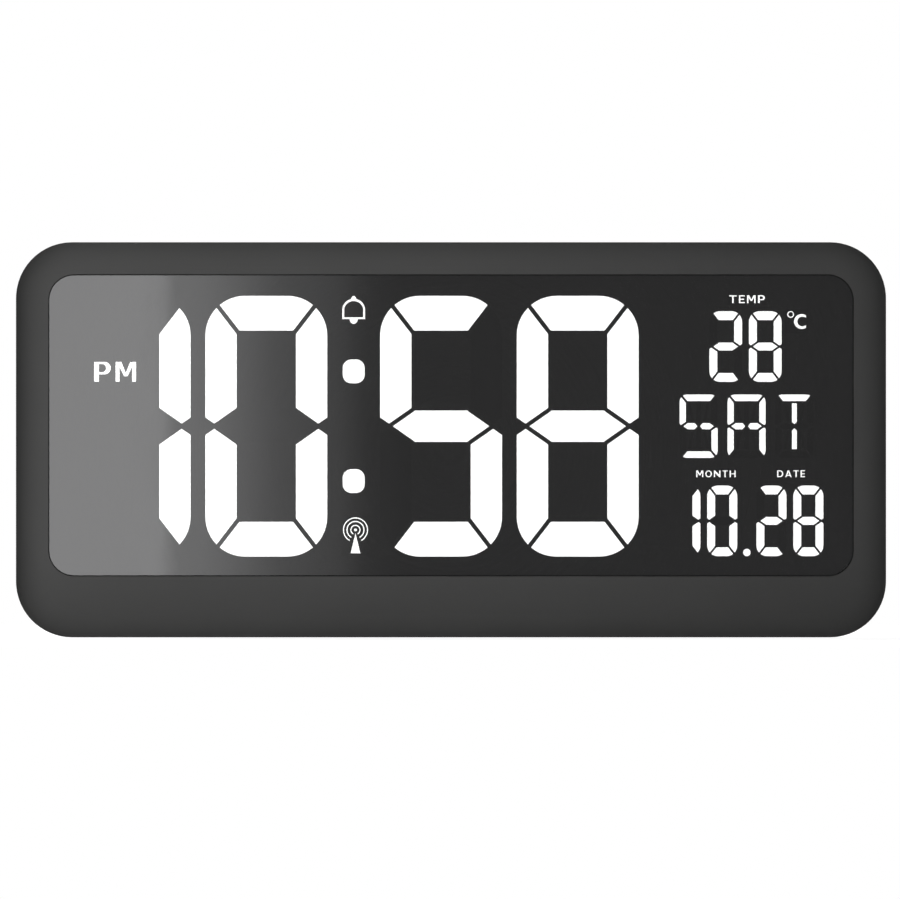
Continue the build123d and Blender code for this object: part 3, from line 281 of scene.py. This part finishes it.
# wires side by side: the winding on the rod, and the ribbon and leads
wires = {
    "copper_wire": {"base": (0.72, 0.31, 0.12), "groove": (0.25, 0.09, 0.03), "pitch": 0.32, "rough": 0.3,
                    "metal": 0.85},
    "lead_sleeve": {"base": (0.66, 0.66, 0.64), "groove": (0.40, 0.40, 0.39), "pitch": 1.0, "rough": 0.42,
                    "metal": 0.0},
}
winding = {"waver": 0.3, "grooveRough": 0.2, "bump": 0.5, "depthShare": 0.1}


def woundWire(name, look):
    material, tree, shader = startMaterial(name)
    bands = tree.nodes.new("ShaderNodeTexWave")
    bands.bands_direction = "X"
    bands.inputs["Scale"].default_value = pi / (10 * look["pitch"] * mm)  # a wave repeats every pi / 10
    bands.inputs["Distortion"].default_value = winding["waver"]
    tree.links.new(objectPoints(tree), bands.inputs["Vector"])
    wave = bands.outputs["Fac"]
    tree.links.new(blendColours(tree, wave, look["groove"], look["base"]), shader.inputs["Base Color"])
    dullest = look["rough"] + winding["grooveRough"]
    tree.links.new(spread(tree, wave, dullest, look["rough"], 0, 1), shader.inputs["Roughness"])
    shader.inputs["Metallic"].default_value = look["metal"]
    bumpFrom(tree, shader, wave, winding["bump"], winding["depthShare"] * look["pitch"] * mm)
    return material


finishes = {name: mouldedPlastic(name, look) for name, look in plastics.items()}
finishes.update({name: drawnMetal(name, look) for name, look in metals.items()})
finishes.update({name: woundWire(name, look) for name, look in wires.items()})
finishes["lens_mirror"] = mirrorCoat("lens_mirror")
finishes["lit_segment"] = litBlock("lit_segment")
finishes["foam_tape"] = foamTape("foam_tape")
finishes["board_laminate"] = boardLaminate("board_laminate")

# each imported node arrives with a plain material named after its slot
for node in nodes.values():
    slotName = node.data.materials[0].name.split(".")[0]
    node.data.materials[0] = finishes[slotName]
print("finishes given:", len(finishes))


# the lit display: which bars of each character glow
characters = {
    "hour_ones": "0", "minute_tens": "5", "temperature_digits": "28",
    "weekday_letters": "SAT", "month_digits": "10", "day_digits": "28",
}
barsOf = {"0": "abcdef", "1": "bc", "2": "abged", "5": "afgcd", "8": "abcdefg",
          "S": "afghcd", "A": "abcefgh", "T": "aij"}
bars = {"middle": 0.5, "endBand": 0.12, "midBand": 0.1, "sideBand": 0.2, "inOne": 2}


def looseSolids(mesh):
    # the separate solids of a node, each a list of faces
    shape = bmesh.new()
    shape.from_mesh(mesh)
    bmesh.ops.remove_doubles(shape, verts=shape.verts, dist=weld)
    waiting = set(shape.faces)
    solids = []
    while waiting:
        solid = []
        reached = [waiting.pop()]
        while reached:
            face = reached.pop()
            solid.append(face)
            for side in face.edges:
                for other in side.link_faces:
                    if other in waiting:
                        waiting.remove(other)
                        reached.append(other)
        solids.append(solid)
    return shape, solids


def solidBox(solid):
    points = [vert.co for face in solid for vert in face.verts]
    low = Vector(min(point[i] for point in points) for i in range(3))
    high = Vector(max(point[i] for point in points) for i in range(3))
    return low, high


def barLetter(across, up):
    # a to g as on any seven-bar digit; h is the right half of a split g, i and j the stems, k a slant
    middle = bars["middle"]
    if up > 1 - bars["endBand"]:
        return "a"
    if up < bars["endBand"]:
        return "d"
    if abs(up - middle) < bars["midBand"]:
        return "h" if across > middle + bars["midBand"] else "g"
    if across < bars["sideBand"]:
        return "f" if up > middle else "e"
    if across > 1 - bars["sideBand"]:
        return "b" if up > middle else "c"
    if abs(across - middle) < bars["midBand"]:
        return "i" if up > middle else "j"
    return "k"


def sortIntoCharacters(solids):
    # solids whose spans along X overlap belong to one character
    boxes = sorted(((*solidBox(solid), solid) for solid in solids), key=lambda box: box[0].x)
    groups = []
    reach = None
    for low, high, solid in boxes:
        if reach is None or low.x > reach:
            groups.append([])
            reach = high.x
        reach = max(reach, high.x)
        groups[-1].append((low, high, solid))
    return groups


def solidsToPiece(name, solids, finish, body, node):
    mesh = bpy.data.meshes.new(name)
    places = {}
    faces = []
    for solid in solids:
        for face in solid:
            faces.append([places.setdefault(vert, len(places)) for vert in face.verts])
    mesh.from_pydata([vert.co for vert in places], [], faces)
    mesh.materials.append(finishes[finish])
    piece = bpy.data.objects.new(name, mesh)
    bpy.context.scene.collection.objects.link(piece)
    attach(piece, body)
    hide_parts(node)


for node, text in characters.items():
    shape, solids = looseSolids(nodes[node].data)
    glowing, dark = [], []
    for letter, group in zip(text, sortIntoCharacters(solids)):
        low = Vector(min(box[0][i] for box in group) for i in range(3))
        high = Vector(max(box[1][i] for box in group) for i in range(3))
        for barLow, barHigh, solid in group:
            middle = (barLow + barHigh) / 2
            across = (middle.x - low.x) / (high.x - low.x)
            up = (middle.z - low.z) / (high.z - low.z)
            # a group of just two bars is a one, and both glow
            if len(group) == bars["inOne"] or barLetter(across, up) in barsOf[letter]:
                glowing.append(solid)
            else:
                dark.append(solid)
    solidsToPiece(node + "_lit", glowing, "lit_segment", "case", node)
    if dark:
        solidsToPiece(node + "_dark", dark, "dark_segment", "case", node)
    print(node, "shows", text, "with", len(glowing), "bars lit and", len(dark), "dark")
    shape.free()


# flat signs: thin lit shapes that stand in the windows of the film
sign = {"back": 0.03 * mm, "thick": 0.2 * mm, "halfTurnSteps": 40, "leastSteps": 4, "fontSteps": 8,
        "drawnThick": 0.02}
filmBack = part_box("mask_film")[1].y


def flatMesh(name, loops):
    # closed loops in (across, up), filled with their holes and given a thickness
    curve = bpy.data.curves.new(name, "CURVE")
    curve.dimensions = "2D"
    curve.fill_mode = "BOTH"
    curve.extrude = sign["drawnThick"] / 2
    for loop in loops:
        spline = curve.splines.new("POLY")
        spline.points.add(len(loop) - 1)
        for point, (x, z) in zip(spline.points, loop):
            point.co = (x, z, 0, 1)
        spline.use_cyclic_u = True
    return curveToMesh(name, curve)


def curveToMesh(name, curve):
    holder = bpy.data.objects.new(name, curve)
    bpy.context.scene.collection.objects.link(holder)
    bpy.context.view_layer.update()
    mesh = bpy.data.meshes.new_from_object(holder.evaluated_get(bpy.context.evaluated_depsgraph_get()))
    bpy.data.objects.remove(holder)
    mesh.name = name
    return mesh


def wordMesh(name, text, thick):
    curve = bpy.data.curves.new(name, "FONT")
    curve.body = text
    curve.fill_mode = "BOTH"
    curve.extrude = thick / 2 / mm  # letters are made a thousand times too large, then fitted
    curve.resolution_u = sign["fontSteps"]
    return curveToMesh(name, curve)


def standSign(mesh, low, high, y, facing=-1):
    # fits a flat mesh to a box in X and Z and stands it up, looking along facing
    xs = [vert.co.x for vert in mesh.vertices]
    zs = [vert.co.y for vert in mesh.vertices]
    deep = [vert.co.z for vert in mesh.vertices]
    across = (high.x - low.x) / (max(xs) - min(xs))
    upward = (high.z - low.z) / (max(zs) - min(zs))
    thick = sign["thick"] / (max(deep) - min(deep))
    middle = (low + high) / 2
    middleX = (max(xs) + min(xs)) / 2
    middleZ = (max(zs) + min(zs)) / 2
    for vert in mesh.vertices:
        x, z, depth = vert.co
        vert.co = (middle.x - facing * (x - middleX) * across, y + facing * depth * thick,
                   middle.z + (z - middleZ) * upward)
    welded = bmesh.new()
    welded.from_mesh(mesh)
    bmesh.ops.remove_doubles(welded, verts=welded.verts, dist=weld)
    bmesh.ops.recalc_face_normals(welded, faces=welded.faces)
    welded.to_mesh(mesh)
    welded.free()


def addSign(name, mesh, low, high, y, finish, facing=-1):
    standSign(mesh, low, high, y, facing)
    mesh.materials.append(finishes[finish])
    piece = bpy.data.objects.new(name, mesh)
    bpy.context.scene.collection.objects.link(piece)
    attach(piece, "case")


def signBox(window, look):
    # the sign's own size about the middle of its window, a little off it where the look says so
    moved = Vector((look.get("across", 0) * mm, 0, look.get("above", 0) * mm))
    middle = (window[0] + window[1]) / 2 + moved
    half = Vector((look["wide"] / 2 * mm, 0, look["tall"] / 2 * mm))
    return middle - half, middle + half


def arc(centre, wide, tall, start, end):
    # points on an ellipse, angles in degrees from +X
    steps = max(sign["leastSteps"], round(sign["halfTurnSteps"] * abs(end - start) / 180))
    angles = [radians(start + (end - start) * i / steps) for i in range(steps + 1)]
    return [(centre[0] + wide * cos(angle), centre[1] + tall * sin(angle)) for angle in angles]


def ring(centre, middle, stroke, start, end):
    outer = arc(centre, middle + stroke / 2, middle + stroke / 2, start, end)
    inner = arc(centre, middle - stroke / 2, middle - stroke / 2, end, start)
    return outer + inner


def disc(centre, radius):
    return arc(centre, radius, radius, 0, 360)[:-1]


signY = filmBack - sign["back"] - sign["thick"] / 2

# bell: arch with a knob, a floor bar and a clapper, in shares of its width
bell = {"wide": 9.93, "tall": 12.18, "above": -0.13, "top": 1.226, "side": 0.083, "crown": 0.100,
        "spring": 0.610, "archTop": 1.101, "barLow": 0.210, "barHigh": 0.287, "clapper": 0.178, "knob": 0.108}


def bellLoops():
    half = 0.5
    rise = bell["archTop"] - bell["spring"]
    knobAngle = degrees(acos(bell["knob"] / half))
    knobBase = bell["spring"] + rise * sin(radians(knobAngle))
    thin = half - bell["side"]
    outer = [(-half, bell["barLow"])]
    outer += arc((0, bell["spring"]), half, rise, 180, 180 - knobAngle)
    outer += arc((0, knobBase), bell["knob"], bell["top"] - knobBase, 180, 0)[1:-1]
    outer += arc((0, bell["spring"]), half, rise, knobAngle, 0)
    outer += [(half, bell["barLow"])]
    outer += arc((0, bell["barLow"]), bell["clapper"], bell["barLow"], 0, -180)
    inner = [(-thin, bell["barHigh"])]
    inner += arc((0, bell["spring"]), thin, rise - bell["crown"], 180, 0)
    inner += [(thin, bell["barHigh"])]
    return [outer, inner]


addSign("bellSign", flatMesh("bellSign", bellLoops()), *signBox(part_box("bell_window"), bell),
        signY, "lit_segment")

# radio mast: three open rings round a dot, on a slim pointed stand, in shares of the widest ring
mast = {"wide": 10.92, "tall": 15.64, "above": 0.06, "rings": (0.364, 0.676, 0.960), "stroke": 0.080,
        "dot": 0.110, "open": 29, "tip": -0.270, "foot": -1.865, "footHalf": 0.385}


def mastLoops():
    loops = [disc((0, 0), mast["dot"])]
    for middle in mast["rings"]:
        loops.append(ring((0, 0), middle, mast["stroke"], 270 - mast["open"], mast["open"] - 90))
    loops.append([(0, mast["tip"]), (mast["footHalf"], mast["foot"]), (-mast["footHalf"], mast["foot"])])
    return loops


addSign("mastSign", flatMesh("mastSign", mastLoops()), *signBox(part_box("mast_window"), mast),
        signY, "lit_segment")

# degree ring and a bold C, in shares of the sign's height
celsius = {"wide": 8.09, "tall": 7.75, "across": -0.03, "above": 0.69, "ringAt": (0.186, 0.814),
           "ring": 0.161, "ringStroke": 0.050, "letterAt": (0.815, 0.416), "letterWide": 0.439,
           "letterTall": 0.416, "hollowAt": (0.850, 0.416), "hollowWide": 0.288, "hollowTall": 0.275,
           "end": 1.046}


def celsiusLoops():
    at, middle, stroke = celsius["ringAt"], celsius["ring"], celsius["ringStroke"]
    # both edges of the C stop at one upright line
    mouth = degrees(acos((celsius["end"] - celsius["letterAt"][0]) / celsius["letterWide"]))
    throat = degrees(acos((celsius["end"] - celsius["hollowAt"][0]) / celsius["hollowWide"]))
    outer = arc(celsius["letterAt"], celsius["letterWide"], celsius["letterTall"], mouth, 360 - mouth)
    inner = arc(celsius["hollowAt"], celsius["hollowWide"], celsius["hollowTall"], 360 - throat, throat)
    return [disc(at, middle + stroke / 2), disc(at, middle - stroke / 2), outer + inner]


addSign("celsiusSign", flatMesh("celsiusSign", celsiusLoops()), *signBox(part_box("celsius_window"), celsius),
        signY, "lit_segment")


# widths of the bold capitals, for a height of one: a broad cut and a slim one
broadCaps = {"P": 0.83, "M": 1.03, "T": 0.875, "E": 0.69}
slimCaps = {"M": 1.06, "O": 0.985, "N": 0.985, "T": 0.765, "H": 0.90, "D": 0.91, "A": 0.96, "E": 0.65}


# parts of the capitals in shares of the height; those named strokes count upright strokes
capParts = {"half": 0.5, "bowl": 0.315, "bowlBend": 0.42, "stemStrokes": 1.2, "shoulderStrokes": 1.5,
            "notch": 0.445, "foot": 0.275, "footStrokes": 0.45, "rise": 0.755, "armShort": 0.05, "lean": 0.64,
            "bend": 0.42, "crossbar": 0.2, "apexStrokes": 0.55}


# capitals one unit tall: up is the upright stroke, bar the level one
def capital(letter, wide, up, bar):
    half = capParts["half"]
    middle = wide / 2
    low, high = half - bar / 2, half + bar / 2
    if letter == "P":
        bowl, stem, bend = capParts["bowl"], capParts["stemStrokes"] * up, capParts["bowlBend"]
        outer = [(0, 0), (0, 1)] + arc((wide - bowl, 1 - bowl), bowl, bowl, 90, -90)
        outer += [(stem, 1 - 2 * bowl), (stem, 0)]
        inner = [(stem, 1 - bar)] + arc((bend, 1 - bowl), wide - stem - bend, bowl - bar, 90, -90)
        inner += [(stem, 1 + bar - 2 * bowl)]
        return [outer, inner]
    if letter == "M":
        shoulder, flat = capParts["shoulderStrokes"] * up, capParts["footStrokes"] * up
        notch, foot, rise = capParts["notch"], capParts["foot"], capParts["rise"]
        return [[(0, 0), (0, 1), (shoulder, 1), (middle, notch), (wide - shoulder, 1), (wide, 1), (wide, 0),
                 (wide - up, 0), (wide - up, rise), (middle + flat, foot), (middle - flat, foot), (up, rise),
                 (up, 0)]]
    if letter == "T":
        left, right = (wide - up) / 2, (wide + up) / 2
        return [[(left, 0), (left, 1 - bar), (0, 1 - bar), (0, 1), (wide, 1), (wide, 1 - bar),
                 (right, 1 - bar), (right, 0)]]
    if letter == "E":
        short = wide - capParts["armShort"]
        return [[(0, 0), (0, 1), (wide, 1), (wide, 1 - bar), (up, 1 - bar), (up, high), (short, high),
                 (short, low), (up, low), (up, bar), (wide, bar), (wide, 0)]]
    if letter == "O":
        return [arc((middle, half), middle, half, 0, 360)[:-1],
                arc((middle, half), middle - up, half - bar, 0, 360)[:-1]]
    if letter == "N":
        lean = capParts["lean"]
        return [[(0, 0), (0, 1), (up, 1), (wide - up, 1 - lean), (wide - up, 1), (wide, 1), (wide, 0),
                 (wide - up, 0), (up, lean), (up, 0)]]
    if letter == "H":
        return [[(0, 0), (0, 1), (up, 1), (up, high), (wide - up, high), (wide - up, 1), (wide, 1), (wide, 0),
                 (wide - up, 0), (wide - up, low), (up, low), (up, 0)]]
    if letter == "D":
        bend = capParts["bend"]
        outer = [(0, 0), (0, 1)] + arc((bend, half), wide - bend, half, 90, -90)
        inner = [(up, 1 - bar)] + arc((bend, half), wide - bend - up, half - bar, 90, -90) + [(up, bar)]
        return [outer, inner]
    # the one left is A
    low, high = capParts["crossbar"], capParts["crossbar"] + bar
    flat = capParts["apexStrokes"] * up
    slope = middle - flat
    return [[(0, 0), (slope, 1), (wide - slope, 1), (wide, 0), (wide - up, 0), (wide - up - slope * low, low),
             (up + slope * low, low), (up, 0)],
            [(up + slope * high, high), (wide - up - slope * high, high), (middle, 1 - flat / slope)]]


def wordLoops(text, look):
    loops = []
    start = 0
    for letter in text:
        wide = look["caps"][letter]
        for shape in capital(letter, wide, look["up"], look["bar"]):
            loops.append([(start + x, z) for x, z in shape])
        start += wide + look["gap"]
    return loops


# plain function words, each fitted to its own window, left to right
words = {
    "PM": {"caps": broadCaps, "wide": 18.25, "tall": 8.61, "across": 0.11, "above": 0.21, "up": 0.195,
           "bar": 0.110, "gap": 0.25},
    "MONTH": {"caps": slimCaps, "wide": 17.15, "tall": 2.94, "across": -0.09, "above": 0.175, "up": 0.172,
              "bar": 0.132, "gap": 0.32},
    "TEMP": {"caps": broadCaps, "wide": 15.55, "tall": 3.42, "across": 0.12, "above": 0.315, "up": 0.175,
             "bar": 0.142, "gap": 0.28},
    "DATE": {"caps": slimCaps, "wide": 12.1, "tall": 2.94, "across": -0.075, "above": 0.225, "up": 0.175,
             "bar": 0.132, "gap": 0.295},
}
shape, solids = looseSolids(nodes["legend_windows"].data)
windowBoxes = sorted((solidBox(solid) for solid in solids), key=lambda box: box[0].x)
shape.free()
for (text, look), box in zip(words.items(), windowBoxes):
    name = text.lower() + "Sign"
    addSign(name, flatMesh(name, wordLoops(text, look)), *signBox(box, look), signY, "lit_segment")
print("signs made: bell, mast, celsius and", len(words), "words")


# printed words beside the keys and the power inlet on the back
backPrint = {"tall": 2.4 * mm, "above": 3.4 * mm, "out": 0.02 * mm}
keyWords = {"mode": "MODE", "set": "SET", "up": "UP", "down": "DOWN", "alarm": "ALARM", "dim": "DIM"}
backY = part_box("rear_cover")[1].y


def backWord(name, text, x, z):
    mesh = wordMesh(name, text, sign["thick"])
    xs = [vert.co.x for vert in mesh.vertices]
    zs = [vert.co.y for vert in mesh.vertices]
    wide = backPrint["tall"] * (max(xs) - min(xs)) / (max(zs) - min(zs))
    half = Vector((wide / 2, 0, backPrint["tall"] / 2))
    middle = Vector((x, 0, z))
    addSign(name, mesh, middle - half, middle + half, backY - sign["thick"] / 2 + backPrint["out"],
            "clip_plastic", facing=1)


for key, text in keyWords.items():
    low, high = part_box("button_" + key)
    backWord(key + "Print", text, (low.x + high.x) / 2, high.z + backPrint["above"] + backPrint["tall"])
jackLow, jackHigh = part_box("dc_jack")
backWord("inletPrint", "DC5V", (jackLow.x + jackHigh.x) / 2, jackLow.z - backPrint["above"])
print("back prints made for", len(keyWords), "keys and the inlet")


# camera straight in front, far enough back to look almost parallel
shot = {"distance": 12.0, "frameWide": 392.9 * mm, "aimX": -0.44 * mm, "aimZ": 82.0 * mm, "sensor": 36,
        "clipEnd": 40}
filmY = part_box("mask_film")[0].y
cameraData = bpy.data.cameras.new("camera")
cameraData.sensor_width = shot["sensor"]
cameraData.lens = shot["sensor"] * shot["distance"] / shot["frameWide"]
cameraData.clip_end = shot["clipEnd"]
camera = bpy.data.objects.new("camera", cameraData)
camera.location = (shot["aimX"], filmY - shot["distance"], shot["aimZ"])
camera.rotation_euler = (quarterTurn, 0, 0)
bpy.context.scene.collection.objects.link(camera)
bpy.context.scene.camera = camera
print("camera at", tuple(round(place, 3) for place in camera.location))


# soft lamps: two in front that cross over, each on the far half, and two behind, the high one stronger;
# reach is the radius that a lamp lights where it is aimed, radius its own size
lamps = {
    "right": {"place": (0.85, -2.6, 0.09), "aim": (-0.30, 0, 0.09), "reach": 0.485, "radius": 0.25,
              "power": 350},
    "left": {"place": (-1.25, -2.6, 0.09), "aim": (0.30, 0, 0.09), "reach": 0.47, "radius": 0.25,
             "power": 199},
    "back": {"place": (-1.15, 1.45, 1.30), "aim": (0, 0, 0.09), "reach": 1.40, "radius": 0.30, "power": 190},
    "fill": {"place": (1.65, 1.60, 0.70), "aim": (0, 0, 0.09), "reach": 1.40, "radius": 0.30, "power": 110},
}


def addLamp(name, look):
    data = bpy.data.lights.new(name + "Lamp", "SPOT")
    data.energy = look["power"]
    data.shadow_soft_size = look["radius"]
    data.spot_blend = 1
    lamp = bpy.data.objects.new(name + "Lamp", data)
    lamp.location = look["place"]
    throw = Vector(look["aim"]) - lamp.location
    data.spot_size = 2 * atan2(look["reach"], throw.length)
    lamp.rotation_euler = throw.to_track_quat("-Z", "Y").to_euler()
    lamp.visible_glossy = False  # the mirror and the plastics show no lamp
    bpy.context.scene.collection.objects.link(lamp)


for name, look in lamps.items():
    addLamp(name, look)
print("lamps placed:", len(lamps))


# world: white to the eye and in reflections, and a soft light on all that looks back
surround = {"white": (1, 1, 1, 1), "level": 0.40, "from": 0.45, "full": 0.9}


def eyeRays(tree):
    # 1 for camera, mirror and see-through rays
    rays = tree.nodes.new("ShaderNodeLightPath")
    value = rays.outputs["Is Camera Ray"]
    for other in ("Is Glossy Ray", "Is Transmission Ray"):
        larger = tree.nodes.new("ShaderNodeMath")
        larger.operation = "MAXIMUM"
        tree.links.new(value, larger.inputs[0])
        tree.links.new(rays.outputs[other], larger.inputs[1])
        value = larger.outputs["Value"]
    return value


world = bpy.data.worlds.new("surround")
world.use_nodes = True
bpy.context.scene.world = world
tree = world.node_tree
tree.nodes.clear()
worldOut = tree.nodes.new("ShaderNodeOutputWorld")
worldMix = tree.nodes.new("ShaderNodeMixShader")
# input 1 is the light on the object, input 2 is what the eye and mirrors see
for index in (1, 2):
    background = tree.nodes.new("ShaderNodeBackground")
    background.inputs["Color"].default_value = surround["white"]
    background.inputs["Strength"].default_value = 1
    tree.links.new(background.outputs["Background"], worldMix.inputs[index])
    if index == 1:
        heading = tree.nodes.new("ShaderNodeTexCoord")
        headingSplit = tree.nodes.new("ShaderNodeSeparateXYZ")
        tree.links.new(heading.outputs["Generated"], headingSplit.inputs["Vector"])
        soft = spread(tree, headingSplit.outputs["Y"], 0, surround["level"],
                      surround["from"], surround["full"])
        tree.links.new(soft, background.inputs["Strength"])
tree.links.new(eyeRays(tree), worldMix.inputs["Fac"])
tree.links.new(worldMix.outputs["Shader"], worldOut.inputs["Surface"])


# pale table top: mostly white to the eye, a soft bounce to all else, and lit so that it keeps the shadow
table = {"front": -0.6, "back": 0.8, "half": 1.4, "white": 0.91, "bounce": 0.07, "paint": (0.32, 0.32, 0.32)}


def stagePlane(name, corners, material):
    mesh = bpy.data.meshes.new(name)
    mesh.from_pydata(corners, [], [(0, 1, 2, 3)])
    mesh.materials.append(material)
    plane = bpy.data.objects.new(name, mesh)
    bpy.context.scene.collection.objects.link(plane)
    return plane


floorPaint = bpy.data.materials.new("floorPaint")
floorPaint.use_nodes = True
tree = floorPaint.node_tree
tree.nodes.clear()
floorOut = tree.nodes.new("ShaderNodeOutputMaterial")
floorSum = tree.nodes.new("ShaderNodeAddShader")
floorMatt = tree.nodes.new("ShaderNodeBsdfDiffuse")
floorMatt.inputs["Color"].default_value = (*table["paint"], 1)
floorGlow = tree.nodes.new("ShaderNodeEmission")
floorShow = spread(tree, eyeRays(tree), table["bounce"], table["white"], 0, 1)
tree.links.new(floorShow, floorGlow.inputs["Strength"])
tree.links.new(floorMatt.outputs["BSDF"], floorSum.inputs[0])
tree.links.new(floorGlow.outputs["Emission"], floorSum.inputs[1])
tree.links.new(floorSum.outputs["Shader"], floorOut.inputs["Surface"])
half = table["half"]
stagePlane("floor", [(-half, table["front"], 0), (half, table["front"], 0),
                     (half, table["back"], 0), (-half, table["back"], 0)], floorPaint)


# grey card behind the camera, pale at the left and dark at the right, for the mirror to show
card = {"behind": 0.8, "half": 0.48, "low": -0.30, "high": 0.50,
        "tones": ((-190, 0.98), (-125, 0.98), (-122, 0.64), (-108, 0.62), (-75, 0.30), (-48, 0.21),
                  (-38, 0.125), (-20, 0.100), (190, 0.085))}
cardPaint = bpy.data.materials.new("cardPaint")
cardPaint.use_nodes = True
tree = cardPaint.node_tree
tree.nodes.clear()
cardOut = tree.nodes.new("ShaderNodeOutputMaterial")
cardGlow = tree.nodes.new("ShaderNodeEmission")
cardRamp = tree.nodes.new("ShaderNodeValToRGB")
cardPoints = tree.nodes.new("ShaderNodeTexCoord")
cardSplit = tree.nodes.new("ShaderNodeSeparateXYZ")
tree.links.new(cardPoints.outputs["Generated"], cardSplit.inputs["Vector"])
tree.links.new(cardSplit.outputs["X"], cardRamp.inputs["Fac"])
tree.links.new(cardRamp.outputs["Color"], cardGlow.inputs["Color"])
tree.links.new(cardGlow.outputs["Emission"], cardOut.inputs["Surface"])
cardY = camera.location.y - card["behind"]
half = card["half"]
# a tone shows in the lens at the place given in mm, and lies further out on the card
reach = 1 + (filmY - cardY) / shot["distance"]
cardMiddle = 0.5
stops = cardRamp.color_ramp.elements
for tone in card["tones"][1:-1]:
    stops.new(cardMiddle)
for stop, (place, tone) in zip(stops, card["tones"]):
    stop.position = cardMiddle + place * mm * reach / (2 * half)
    stop.color = (tone, tone, tone, 1)
greyCard = stagePlane("greyCard", [(-half, cardY, card["low"]), (half, cardY, card["low"]),
                                   (half, cardY, card["high"]), (-half, cardY, card["high"])], cardPaint)
greyCard.visible_camera = False
greyCard.visible_diffuse = False
greyCard.visible_shadow = False
print("stage set")

bpy.context.scene.view_settings.view_transform = "Standard"
